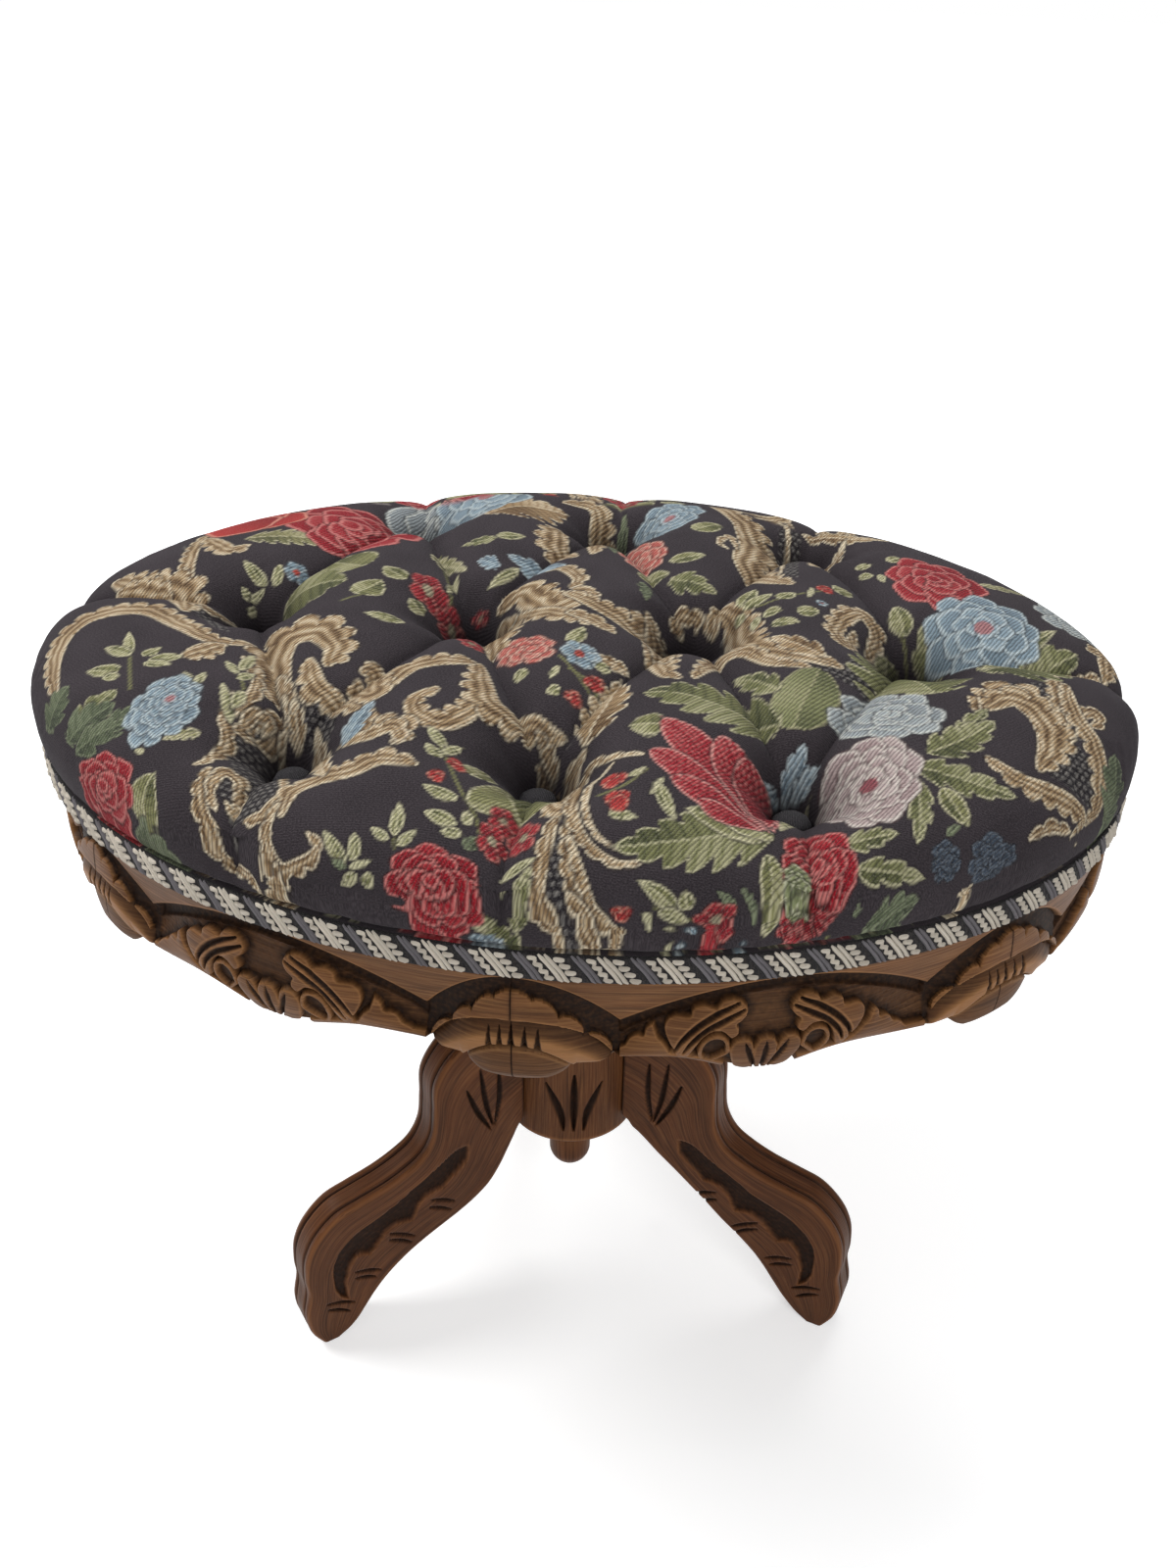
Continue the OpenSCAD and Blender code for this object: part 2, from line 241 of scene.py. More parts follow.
def corner_map(obj, name, values):
    """A UV map from one pair of numbers per vertex."""
    loops = read(obj.data.loops, "vertex_index", kind=np.int32)
    layer = obj.data.uv_layers.new(name=name)
    layer.data.foreach_set("uv", np.asarray(values, np.float32)[loops].ravel())


def smooth(obj, angle=None):
    use(obj)
    if angle is None:
        bpy.ops.object.shade_smooth()
    else:
        bpy.ops.object.shade_smooth_by_angle(angle=math.radians(angle))


def settle(obj, material, slot, *nodes):
    """Finishes a piece: material, body and the CAD nodes that it stands for. The slot is not used.
    """
    obj.data.materials.clear()
    obj.data.materials.append(material)
    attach(obj, "root")
    if nodes:
        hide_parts(*nodes)
    return obj


def carved_piece(name, points, faces, stain_and_shade, wear_and_highlight, grain, angle):
    """A wooden piece with darkened recesses, partly stained and partly painted shade, lightened
    edges, partly worn and partly painted highlights, and a map along its grain.
    """
    obj = mesh_piece(name, points.reshape(-1, 3), faces)
    attribute(obj, "stain_and_shade", stain_and_shade)
    attribute(obj, "wear_and_highlight", wear_and_highlight)
    corner_map(obj, "grain", grain.reshape(-1, 2))
    face_out(obj)
    smooth(obj, angle)
    return obj


# Helpers for shapes, on numpy arrays

def step(low, high, x):
    t = np.clip((x - low) / (high - low), 0, 1)
    return t * t * (3 - 2 * t)


def bell(x, width):
    return np.exp(-(x / width) ** 2)


def scatter(cells, seed):
    """A repeatable number from 0 to 1 for each whole-number cell."""
    h = np.full(cells.shape[:-1], seed * 374761393 + 1013904223, np.uint64)
    for k in range(cells.shape[-1]):
        h = (h ^ cells[..., k].astype(np.int64).astype(np.uint64)) * np.uint64(0x9E3779B97F4A7C15)
        h ^= h >> np.uint64(29)
    return (h >> np.uint64(40)).astype(float) / float(1 << 24)


def noise(points, size, seed=0):
    """Smooth noise from -1 to 1 with the given cell size."""
    p = np.asarray(points, float) / size
    base = np.floor(p)
    f = p - base
    f = f * f * (3 - 2 * f)
    total = 0
    for corner in np.ndindex(*(2,) * p.shape[-1]):
        weight = np.prod(np.where(np.array(corner) == 1, f, 1 - f), -1)
        total = total + weight * scatter(base + np.array(corner), seed)
    return total * 2 - 1


def spline(a, b, c, d, t):
    """Points between b and c on a smooth line through a, b, c and d, at shares t from 0 to 1."""
    return 0.5 * (2 * b + (c - a) * t + (2 * a - 5 * b + 4 * c - d) * t ** 2
                  + (3 * b - a - 3 * c + d) * t ** 3)


def chain(points, count):
    """A smooth line through points, as count points evenly spread along it."""
    p = np.asarray(points, float)
    p = np.vstack([2 * p[0] - p[1], p, 2 * p[-1] - p[-2]])
    t = np.linspace(0, 1, 24, endpoint=False)[:, None]
    out = []
    for a, b, c, d in zip(p[:-3], p[1:-2], p[2:-1], p[3:]):
        out.append(spline(a, b, c, d, t))
    line = np.vstack(out + [p[-2:-1]])
    along = np.r_[0, np.cumsum(np.linalg.norm(np.diff(line, axis=0), axis=1))]
    at = np.linspace(0, along[-1], count)
    return np.stack([np.interp(at, along, line[:, k]) for k in range(line.shape[1])], -1)


def to_line(x, y, line):
    """Distance to a line of points, and the share of its length where the nearest point lies."""
    line = np.asarray(line, float)
    lengths = np.linalg.norm(np.diff(line, axis=0), axis=1)
    before = np.r_[0, np.cumsum(lengths)]
    best = np.full(x.shape, 1e9)
    where = np.zeros(x.shape)
    for k, (a, b) in enumerate(zip(line[:-1], line[1:])):
        d = b - a
        t = np.clip(((x - a[0]) * d[0] + (y - a[1]) * d[1]) / max(d @ d, 1e-12), 0, 1)
        gap = np.hypot(x - a[0] - t * d[0], y - a[1] - t * d[1])
        near = gap < best
        best = np.where(near, gap, best)
        where = np.where(near, (before[k] + t * lengths[k]) / before[-1], where)
    return best, where


def to_shape(x, y, outline):
    """Signed distance to a closed outline, negative inside."""
    outline = np.asarray(outline, float)
    gap = to_line(x, y, np.vstack([outline, outline[:1]]))[0]
    inside = np.zeros(x.shape, bool)
    for (ax, ay), (bx, by) in zip(outline, np.roll(outline, -1, 0)):
        if ay != by:
            crosses = (ay > y) != (by > y)
            inside ^= crosses & (x < (bx - ax) * (y - ay) / (by - ay) + ax)
    return np.where(inside, -gap, gap)


def closed_chain(points, count):
    p = list(points)
    return chain(p[-2:] + p + p[:2], count + 60)[30:-30] if len(p) > 3 else np.array(p)


def cut(gap, width, depth):
    """Depth of a V-shaped cut at a distance from its middle."""
    return depth * np.clip(1 - gap / np.maximum(width, 1e-3), 0, 1)


def gouge(x, y, path, widest, deepest, span, start, power, count=24):
    """A V-shaped cut along a path that narrows to both ends: how deep and how dark it is."""
    gap, share = to_line(x, y, chain(path, count))
    width = widest * np.sin(math.pi * np.clip(share * span + start, 0, 1)) ** power
    return cut(gap, width, deepest), 1 - step(width * 0.6, width * 1.1, gap)


# The oval

HALF_L = BRAID_HIGH[0]
HALF_W = BRAID_HIGH[1]


def oval(angle, inset):
    return np.stack([(HALF_L - inset) * np.cos(angle), (HALF_W - inset) * np.sin(angle)], -1)


def oval_out(angle):
    n = np.stack([np.cos(angle) / HALF_L, np.sin(angle) / HALF_W], -1)
    return n / np.linalg.norm(n, axis=-1, keepdims=True)


def oval_table(count=2880):
    """Angles and the length of the oval's edge up to each."""
    t = np.linspace(0, 2 * math.pi, count + 1)
    p = oval(t, 0)
    return t, np.r_[0, np.cumsum(np.linalg.norm(np.diff(p, axis=0), axis=1))]


OVAL_T, OVAL_S = oval_table()


# Materials

class Nodes:
    """Short calls for the node tree of a new material or world."""

    def __init__(self, name, kind="materials", out="ShaderNodeOutputMaterial"):
        self.owner = getattr(bpy.data, kind).new(name)
        self.owner.use_nodes = True
        self.tree = self.owner.node_tree
        self.tree.nodes.clear()
        self.out = self.add(out)

    def add(self, kind, **settings):
        node = self.tree.nodes.new(kind)
        for key, value in settings.items():
            setattr(node, key, value)
        return node

    def link(self, a, b):
        self.tree.links.new(a, b)

    def put(self, socket, value):
        if isinstance(value, bpy.types.NodeSocket):
            self.link(value, socket)
        elif value is not None:
            socket.default_value = (*value, 1) if socket.type == "RGBA" else value

    def maths(self, operation, a, b):
        node = self.add("ShaderNodeMath", operation=operation)
        self.put(node.inputs[0], a)
        self.put(node.inputs[1], b)
        return node.outputs[0]

    def spread(self, value, low, high, to_low=0.0, to_high=1.0):
        node = self.add("ShaderNodeMapRange", clamp=True)
        for key, number in zip(("Value", "From Min", "From Max", "To Min", "To Max"),
                               (value, low, high, to_low, to_high)):
            self.put(node.inputs[key], number)
        return node.outputs[0]

    def choose(self, share, a, b):
        """A mix of two shaders."""
        node = self.add("ShaderNodeMixShader")
        for socket, value in zip(node.inputs, (share, a, b)):
            self.link(value, socket)
        return node.outputs[0]

    def mix(self, share, a, b):
        """A mix of two colours."""
        node = self.add("ShaderNodeMix", data_type="RGBA")
        self.put(node.inputs["Factor"], share)
        self.put(node.inputs[6], a)
        self.put(node.inputs[7], b)
        return node.outputs[2]

    def noise(self, vector, scale, detail=3.0, roughness=0.5, distortion=0.0):
        node = self.add("ShaderNodeTexNoise")
        self.put(node.inputs["Vector"], vector)
        for key, number in zip(("Scale", "Detail", "Roughness", "Distortion"),
                               (scale, detail, roughness, distortion)):
            node.inputs[key].default_value = number
        return node.outputs["Fac"]

    def wave(self, vector, scale, direction, distortion, detail=1.0, detail_scale=1.0):
        node = self.add("ShaderNodeTexWave", bands_direction=direction)
        self.put(node.inputs["Vector"], vector)
        for key, number in zip(("Scale", "Distortion", "Detail", "Detail Scale"),
                               (scale, distortion, detail, detail_scale)):
            node.inputs[key].default_value = number
        return node.outputs["Fac"]

    def stretched(self, vector, scale, turn=0.0):
        node = self.add("ShaderNodeMapping")
        self.put(node.inputs["Vector"], vector)
        node.inputs["Scale"].default_value = scale
        node.inputs["Rotation"].default_value = (0, 0, turn)
        return node.outputs[0]

    def objects(self):
        return self.add("ShaderNodeTexCoord").outputs["Object"]

    def uv(self, name):
        return self.add("ShaderNodeUVMap", uv_map=name).outputs[0]

    def read(self, name, kind="Fac"):
        return self.add("ShaderNodeAttribute", attribute_name=name).outputs[kind]

    def bump(self, height, distance, strength):
        node = self.add("ShaderNodeBump")
        self.put(node.inputs["Height"], height)
        node.inputs["Distance"].default_value = distance
        node.inputs["Strength"].default_value = strength
        return node.outputs[0]

    def surface(self, **sockets):
        shader = self.add("ShaderNodeBsdfPrincipled")
        for key, value in sockets.items():
            self.put(shader.inputs[key.replace("_", " ")], value)
        self.link(shader.outputs[0], self.out.inputs["Surface"])
        return self.owner


def carved_walnut(name, shade=1.0, red=1.0):
    """Stained walnut. The map 'grain' runs along the grain, in metres. One attribute is 1 in the
    recesses, which are darker, partly stained wood and partly painted shade; another is high on
    edges, which are lighter, partly wear and partly painted highlights."""
    c = colours()
    n = Nodes(name)
    grain = n.uv("grain")
    bend = n.noise(n.stretched(grain, (6, 14, 1)), 1.0, 2.0)
    along = n.add("ShaderNodeVectorMath", operation="ADD")
    n.put(along.inputs[0], grain)
    shift = n.add("ShaderNodeCombineXYZ")
    n.put(shift.inputs["Y"], n.spread(bend, 0, 1, -0.006, 0.006))
    n.put(along.inputs[1], shift.outputs[0])
    fibre = n.noise(n.stretched(along.outputs[0], (22, 900, 1)), 1.0, 4.0, 0.6)
    figure = n.noise(n.stretched(along.outputs[0], (7, 170, 1)), 1.0, 3.0, 0.55, 0.6)
    pores = n.noise(n.stretched(along.outputs[0], (90, 2600, 1)), 1.0, 2.0, 0.5)
    patch = n.noise(n.objects(), 24.0, 2.0)
    tint = (shade, shade / red, shade / red)
    light = tuple(v * t for v, t in zip(c.walnut_light, tint))
    middle = tuple(v * t for v, t in zip(c.walnut, tint))
    deep = tuple(v * 0.42 for v in middle)
    tone = n.mix(n.spread(figure, 0.30, 0.72), deep, middle)
    tone = n.mix(n.spread(fibre, 0.42, 0.75, 0.0, 0.62), tone, light)
    tone = n.mix(n.spread(patch, 0.35, 0.7, 0.0, 0.28), tone, deep)
    # Edges are lightened towards the worn walnut: partly wear, partly painted highlight.
    wear_and_highlight = n.read("wear_and_highlight")
    tone = n.mix(n.maths("MULTIPLY", wear_and_highlight, 0.75), tone, light)
    tone = n.mix(n.spread(pores, 0.60, 0.72, 0.0, 0.55), tone, tuple(c.walnut_dark))
    # Recesses, cuts and coves are darkened towards the recess colour: partly stained wood, partly
    # painted shade.
    stain_and_shade = n.read("stain_and_shade")
    specks = n.noise(n.objects(), 420.0, 3.0)
    mottled = n.maths("MULTIPLY", stain_and_shade, n.spread(specks, 0.25, 0.6, 0.80, 1.0))
    tone = n.mix(mottled, tone, tuple(c.walnut_dark))
    rough = n.spread(fibre, 0.3, 0.8, 0.54, 0.42)
    rough = n.maths("ADD", rough, n.maths("MULTIPLY", stain_and_shade, 0.22))
    height = n.maths("ADD", n.maths("MULTIPLY", fibre, 0.5), n.maths("MULTIPLY", pores, 0.5))
    bump = n.bump(height, 0.0005, 0.35)
    return n.surface(Base_Color=tone, Roughness=rough, Normal=bump, Specular_IOR_Level=0.12,
                     Coat_Weight=0.015, Coat_Roughness=0.30)


def plain_wood(name, base, along=0):
    """Unstained wood for what is hidden, on Object coordinates, with its grain along one axis."""
    n = Nodes(name)
    scale = [60.0, 60.0, 60.0]
    scale[along] = 3.0
    place = n.stretched(n.objects(), scale)
    figure = n.noise(place, 1.0, 4.0, 0.6, 0.8)
    fibre = n.noise(n.stretched(n.objects(), [v * 12 for v in scale]), 1.0, 3.0)
    tone = n.mix(n.spread(figure, 0.3, 0.7), tuple(v * 0.72 for v in base), base)
    tone = n.mix(n.spread(fibre, 0.45, 0.75, 0.0, 0.4), tone, tuple(v * 0.5 for v in base))
    return n.surface(Base_Color=tone, Roughness=n.spread(fibre, 0.2, 0.8, 0.55, 0.72),
                     Normal=n.bump(fibre, 0.0004, 0.4))


def screw_metal():
    c = colours()
    n = Nodes("yellow_screw_metal")
    marks = n.noise(n.objects(), 900.0, 3.0)
    tone = n.mix(n.spread(marks, 0.35, 0.7), tuple(c.brass), tuple(v * 0.6 for v in c.brass))
    return n.surface(Base_Color=tone, Metallic=1.0, Roughness=n.spread(marks, 0.3, 0.7, 0.28, 0.5),
                     Normal=n.bump(marks, 0.0002, 0.3))


def foam_material():
    n = Nodes("open_foam")
    cells = n.add("ShaderNodeTexVoronoi", feature="F1")
    n.put(cells.inputs["Vector"], n.objects())
    cells.inputs["Scale"].default_value = 700.0
    away = cells.outputs["Distance"]
    # The pits of the cells are painted darker, as shade in the pores.
    tone = n.mix(n.spread(away, 0.1, 0.6), (0.50, 0.42, 0.24), (0.74, 0.66, 0.46))
    return n.surface(Base_Color=tone, Roughness=0.95, Normal=n.bump(away, 0.0008, 0.7))


def twine_material():
    n = Nodes("twisted_twine")
    twist = n.wave(n.stretched(n.objects(), (500, 500, 420)), 1.0, "DIAGONAL", 0.5)
    # The twist goes from dark to light across each ply: painted shade and light on the plies.
    tone = n.mix(twist, (0.30, 0.20, 0.10), (0.58, 0.44, 0.26))
    return n.surface(Base_Color=tone, Roughness=0.85, Normal=n.bump(twist, 0.0004, 0.8))


def button_material():
    n = Nodes("button_chenille")
    place = n.objects()
    rib = n.wave(place, 420.0, "X", 1.5)
    fuzz = n.noise(place, 1500.0, 3.0)
    # Dark chenille, darkened further as painted shade of the pits that the buttons sit in.
    tone = n.mix(n.spread(fuzz, 0.3, 0.7), (0.018, 0.0165, 0.018), (0.062, 0.058, 0.062))
    tone = n.mix(n.spread(rib, 0.2, 0.9, 0.0, 0.5), tone, (0.012, 0.011, 0.012))
    return n.surface(Base_Color=tone, Roughness=0.9, Specular_IOR_Level=0.1, Sheen_Weight=0.04,
                     Normal=n.bump(n.maths("ADD", rib, fuzz), 0.0004, 0.7))


def yarn_material():
    """Yarn of the braid: colour from its attribute, twist from its map."""
    n = Nodes("braid_yarn")
    base = n.read("yarn", "Color")
    twist = n.wave(n.uv("twist"), 1.0, "DIAGONAL", 0.4)
    fuzz = n.noise(n.objects(), 2600.0, 3.0)
    # The grooves of the twist are painted darker, as shade between the plies.
    tone = n.mix(n.spread(twist, 0.0, 0.5, 0.26, 0.0), base, (0.04, 0.034, 0.028))
    tone = n.mix(n.spread(fuzz, 0.45, 0.75, 0.0, 0.10), tone, (0.75, 0.70, 0.62))
    height = n.maths("ADD", twist, n.maths("MULTIPLY", fuzz, 0.4))
    return n.surface(Base_Color=tone, Roughness=0.78, Specular_IOR_Level=0.12, Sheen_Weight=0.04,
                     Sheen_Roughness=0.4, Normal=n.bump(height, 0.0005, 0.8))


def tapestry_material():
    """Cloth of the cushion: colours from its attribute, with a fine weave and raised stitches, and
    painted shade darkening its pits and pleats.
    """
    n = Nodes("floral_tapestry")
    base = n.read("tapestry", "Color")
    worked = n.read("worked")
    weave = n.uv("weave")
    rib = n.wave(weave, 5200.0 / (2 * math.pi) / 3, "Y", 0.6, 2.0, 2.0)
    hatch = n.wave(n.stretched(weave, (1, 1, 1), turn=0.6), 520.0 / 3, "X", 2.2, 2.0, 1.5)
    fuzz = n.noise(n.stretched(weave, (1, 1.6, 1)), 1100.0, 4.0, 0.6)
    cloud = n.noise(n.objects(), 30.0, 2.0)
    tone = n.mix(n.spread(cloud, 0.35, 0.7, 0.0, 0.20), base, (0.075, 0.062, 0.069))
    lit = n.mix(n.spread(fuzz, 0.42, 0.78, 0.0, 0.36), tone, (0.17, 0.145, 0.155))
    tone = n.mix(worked, lit, n.mix(n.spread(fuzz, 0.5, 0.75, 0.0, 0.20), base, (0.80, 0.76, 0.66)))
    shadow = n.maths("MULTIPLY", worked, n.spread(hatch, 0.0, 0.5, 0.55, 0.0))
    tone = n.mix(shadow, tone, (0.03, 0.025, 0.025))
    # Painted shade: the cloth darkens with the depth of the pits and pleats.
    tone = n.mix(n.spread(n.read("hollow"), 0.15, 0.75, 0.0, 0.85), tone, (0.008, 0.006, 0.007))
    height = n.maths("ADD", n.maths("MULTIPLY", hatch, worked),
                     n.maths("ADD", n.maths("MULTIPLY", rib, 0.35), n.maths("MULTIPLY", fuzz, 0.6)))
    return n.surface(Base_Color=tone, Roughness=0.92, Specular_IOR_Level=0.08, Sheen_Weight=0.045,
                     Sheen_Roughness=0.40, Sheen_Tint=(0.80, 0.76, 0.80),
                     Normal=n.bump(height, 0.0006, 0.75))


# Cushion

CREST = COVER_HIGH[2]
WIDEST_Z = 423.0
BOARD_Z = BRAID_HIGH[2]
BULGE = 1.0
CROWN_POWER = 3.0
COVER_INSET = 2.8
BOARD_INSET = 4.8
FOAM_INSET = 12.6
TUFT_PITCH = 117.0
TUFT_ROW = 132.0
TUFTS = [(x * TUFT_PITCH, y * TUFT_ROW) for y in (-1, 0, 1)
         for x in ((-1.5, -0.5, 0.5, 1.5) if y == 0 else (-1, 0, 1))]
PIT_FLOOR = BUTTON_LOW[2]
PIT_RADIUS = 10.0
# Size of the remeshed faces in metres, frames of the cloth's simulation, and the most that it may
# move a point
VOXEL = 0.005
CLOTH_FRAMES = 20
MOST_MOVED = 7.0
# Depth of the relief at which the painted shade of the cloth is darkest, and where the turned
# motifs of the far side take over
PIT_SHADE_DEPTH = 42.0
FAR_SIDE = (168.0, 176.0)

# Pleats between neighbouring buttons of two rows, and from the outer buttons to the trim
DIAGONALS = [(a, b) for a in TUFTS for b in TUFTS
             if b[1] - a[1] == TUFT_ROW and abs(b[0] - a[0]) < TUFT_PITCH * 0.6]
OUTWARD = [((-117, -132), (-133, -205)), ((0, -132), (-6, -222)), ((117, -132), (131, -206)),
           ((-117, 132), (-128, 206)), ((0, 132), (5, 222)), ((117, 132), (134, 204)),
           ((-175.5, 0), (-302, 14)), ((175.5, 0), (302, 8))]


def crown_height(x, y):
    share = np.clip(np.hypot(x / (HALF_L + BULGE), y / (HALF_W + BULGE)), 0, 1)
    return WIDEST_Z + (CREST - WIDEST_Z) * (1 - share ** CROWN_POWER) ** (1 / CROWN_POWER)


def puff(t, power):
    """1 at a pleat and 0 where the puff is full, with the round shoulder of stuffed cloth."""
    t = np.clip(t, 0, 1)
    return 1 - (2 * t - t * t) ** power


def relief(points):
    """How deep the buttons and pleats draw the crown in, in millimetres."""
    x, y = points[:, 0], points[:, 1]
    flat = points[:, :2]
    x = x + 3.0 * noise(flat, 70, 1) + 1.0 * noise(flat, 24, 2)
    y = y + 3.0 * noise(flat, 70, 3) + 1.0 * noise(flat, 24, 4)
    crease = sizes().crease / MM
    total = np.zeros(len(points))
    for a, b in DIAGONALS:
        gap, share = to_line(x, y, [a, b])
        depth = crease * (0.62 + 0.38 * np.abs(2 * share - 1) ** 2)
        total += (depth * puff(gap / 50, 0.60)) ** 5
    for a, b in OUTWARD:
        gap, share = to_line(x, y, [a, b])
        depth = crease * (0.85 - (0.74 if b[1] > 100 else 0.50) * share)
        total += (depth * puff(gap / (46 - 10 * share), 0.60)) ** 5
    for k, (a, b) in enumerate(TUFTS):
        r = np.hypot(x - a, y - b)
        angle = np.arctan2(y - b, x - a)
        folds = 1.3 * bell(r - 24, 12) * np.cos(7 * angle + 1.7 * k)
        full = crown_height(a, b) - PIT_FLOOR + 0.5
        depth = full * puff((r - PIT_RADIUS) / 50, 0.72) + folds
        total += np.clip(depth, 0, None) ** 5
    return total ** 0.2 * (1 - 0.35 * step(120, 200, y))


def shape_crown(obj):
    """Turns a unit ball into the crown, its rolled edge and a flat bottom."""
    p = points_of(obj) * MM
    n = p / np.linalg.norm(p, axis=1, keepdims=True)
    flat = np.hypot(n[:, 0], n[:, 1])
    up = np.arctan2(n[:, 2], flat)
    way = n[:, :2] / np.maximum(flat, 1e-9)[:, None]
    half = np.array([HALF_L, HALF_W])
    share = np.cos(np.clip(up, 0, None)) ** (2 / CROWN_POWER)
    rise = np.sin(np.clip(up, 0, None)) ** (2 / CROWN_POWER)
    top = way * (half + BULGE) * share[:, None]
    turn = np.clip(-up / (math.pi / 4), 0, 1) * math.pi / 2
    inset = -BULGE + (BULGE + COVER_INSET) * (1 - np.cos(turn))
    low = way * (half - inset[:, None]) * np.clip(2 + up / (math.pi / 4), 0, 1)[:, None]
    z_low = WIDEST_Z - (WIDEST_Z - BOARD_Z - 0.3) * np.sin(turn)
    place = np.where((up > 0)[:, None], top, low)
    z = np.where(up > 0, WIDEST_Z + (CREST - WIDEST_Z) * rise, z_low)
    set_points(obj, np.c_[place, z])


def draw_in(points, normals, depth):
    """Moves points inwards: straight down on top, along the normal at the side."""
    side = step(0.75, 0.25, normals[:, 2])[:, None]
    way = normals * side + np.array([0, 0, 1]) * (1 - side)
    hold = step(BOARD_Z + 1.0, BOARD_Z + 12, points[:, 2]) * step(-0.5, 0.1, normals[:, 2])
    return points - way * (depth * hold)[:, None]


def stuff(obj, rest):
    """Blows the drawn-in form up a little as cloth, held at the pleats, pits and trim, and returns
    how far each point moved."""
    pins = obj.vertex_groups.new(name="pins")
    depth = relief(rest)
    held = np.clip(step(9, 17, depth) + step(BOARD_Z + 10, BOARD_Z + 4, rest[:, 2]), 0, 1)
    for k in range(1, 11):
        which = np.nonzero(np.round(held * 10) == k)[0]
        pins.add(which.tolist(), k / 10, "REPLACE")
    use(obj)
    cloth = obj.modifiers.new("Cloth", "CLOTH")
    s = cloth.settings
    s.use_pressure = True
    s.uniform_pressure_force = 4.0
    s.vertex_group_mass = "pins"
    s.tension_stiffness = 12
    s.compression_stiffness = 12
    s.bending_stiffness = 0.3
    s.quality = 5
    s.effector_weights.gravity = 0
    cloth.collision_settings.use_collision = False
    scene = bpy.context.scene
    for number in range(1, CLOTH_FRAMES + 1):
        scene.frame_set(number)
    bpy.ops.object.modifier_apply(modifier=cloth.name)
    scene.frame_set(1)
    moved = points_of(obj) - rest
    length = np.linalg.norm(moved, axis=1, keepdims=True)
    return moved * np.minimum(1, MOST_MOVED / np.maximum(length, 1e-6))


class POUF_OT_cushion(bpy.types.Operator):
    """Models the buttoned cushion and weaves its tapestry"""

    bl_idname = "pouf.cushion"
    bl_label = "Cushion"

    def execute(self, context):
        deselect()
        bpy.ops.mesh.primitive_uv_sphere_add(segments=160, ring_count=96, radius=1.0)
        obj = take("cushion")
        shape_crown(obj)
        apply_modifier(obj, "REMESH", mode="VOXEL", voxel_size=VOXEL)
        crown = points_of(obj)
        normals = normals_of(obj)
        drawn = draw_in(crown, normals, relief(crown))
        set_points(obj, drawn)
        moved = stuff(obj, drawn)
        print("cushion stuffed by", round(float(np.abs(moved).max()), 2), "mm")
        set_points(obj, crown)
        attribute(obj, "moved", moved, "FLOAT_VECTOR")
        self.open_under(obj)
        apply_modifier(obj, "SUBSURF", levels=2, render_levels=2)
        shift = read(obj.data.attributes["moved"].data, "vector", 3)
        obj.data.attributes.remove(obj.data.attributes["moved"])
        crown = points_of(obj)
        normals = normals_of(obj)
        normals *= np.sign(normals[crown[:, 2].argmax(), 2])
        points = draw_in(crown, normals, relief(crown)) + shift
        above = step(BOARD_Z + 6, BOARD_Z + 20, crown[:, 2])
        points += normals * (0.35 * noise(crown, 16, 8) * above)[:, None]
        set_points(obj, points)
        self.close_under(obj)
        points = points_of(obj)
        face_out(obj)
        weave_tapestry(obj, points)
        smooth(obj)
        settle(obj, tapestry_material(), "tapestry", "tufted_cover")
        self.add_foam()
        return {"FINISHED"}

    def open_under(self, obj):
        """Deletes the flat faces underneath."""
        use(obj)
        in_edit_mode((bpy.ops.mesh.select_all, {"action": "DESELECT"}))
        x, y, z = read(obj.data.polygons, "center", 3, float).T / MM
        under = (z < BOARD_Z + 2) & (np.hypot(x / (HALF_L - 8), y / (HALF_W - 8)) < 1)
        obj.data.polygons.foreach_set("select", under)
        in_edit_mode((bpy.ops.mesh.delete, {"type": "FACE"}))

    def close_under(self, obj):
        """Extrudes the open edge down behind the braid, in under the edge of the board and over
        the foam."""
        use(obj)
        others = ("extend", "use_wire", "use_multi_face", "use_non_contiguous", "use_verts")
        in_edit_mode((bpy.ops.mesh.select_mode, {"type": "EDGE"}),
                     (bpy.ops.mesh.select_all, {"action": "DESELECT"}),
                     (bpy.ops.mesh.select_non_manifold,
                      {"use_boundary": True} | dict.fromkeys(others, False)))
        foam_top = FOAM_HIGH[2] + 0.4
        edge_z, board_z = BRAID_LOW[2] + 0.3, BOARD_Z + 0.15
        path = [(COVER_INSET, BOARD_Z + 0.2), (COVER_INSET, edge_z), (BOARD_INSET, edge_z),
                (BOARD_INSET, board_z), (FOAM_INSET, board_z), (FOAM_INSET, foam_top)]
        for inset, z in path:
            in_edit_mode((bpy.ops.mesh.extrude_edges_move, {}))
            chosen = read(obj.data.vertices, "select", kind=bool)
            p = points_of(obj)
            angle = np.arctan2(p[chosen, 1] / HALF_W, p[chosen, 0] / HALF_L)
            p[chosen] = np.c_[oval(angle, inset), np.full(chosen.sum(), z)]
            set_points(obj, p)
        in_edit_mode((bpy.ops.mesh.edge_face_add, {}), (bpy.ops.mesh.select_mode, {"type": "VERT"}))

    def add_foam(self):
        deselect()
        low, high = FOAM_LOW, FOAM_HIGH
        middle = (low[2] + high[2]) / 2
        bpy.ops.mesh.primitive_cylinder_add(vertices=160, radius=1.0, depth=1.0)
        foam = take("foam_slab")
        p = points_of(foam) * MM
        z = middle + p[:, 2] * (high[2] - low[2])
        set_points(foam, np.c_[p[:, 0] * high[0], p[:, 1] * high[1], z])
        apply_modifier(foam, "BEVEL", width=2.0 * MM, segments=3, limit_method="ANGLE")
        smooth(foam, 40)
        settle(foam, foam_material(), "foam", "foam_pad")


# Tapestry: places on the flat cloth in millimetres, x to the right and y to the back

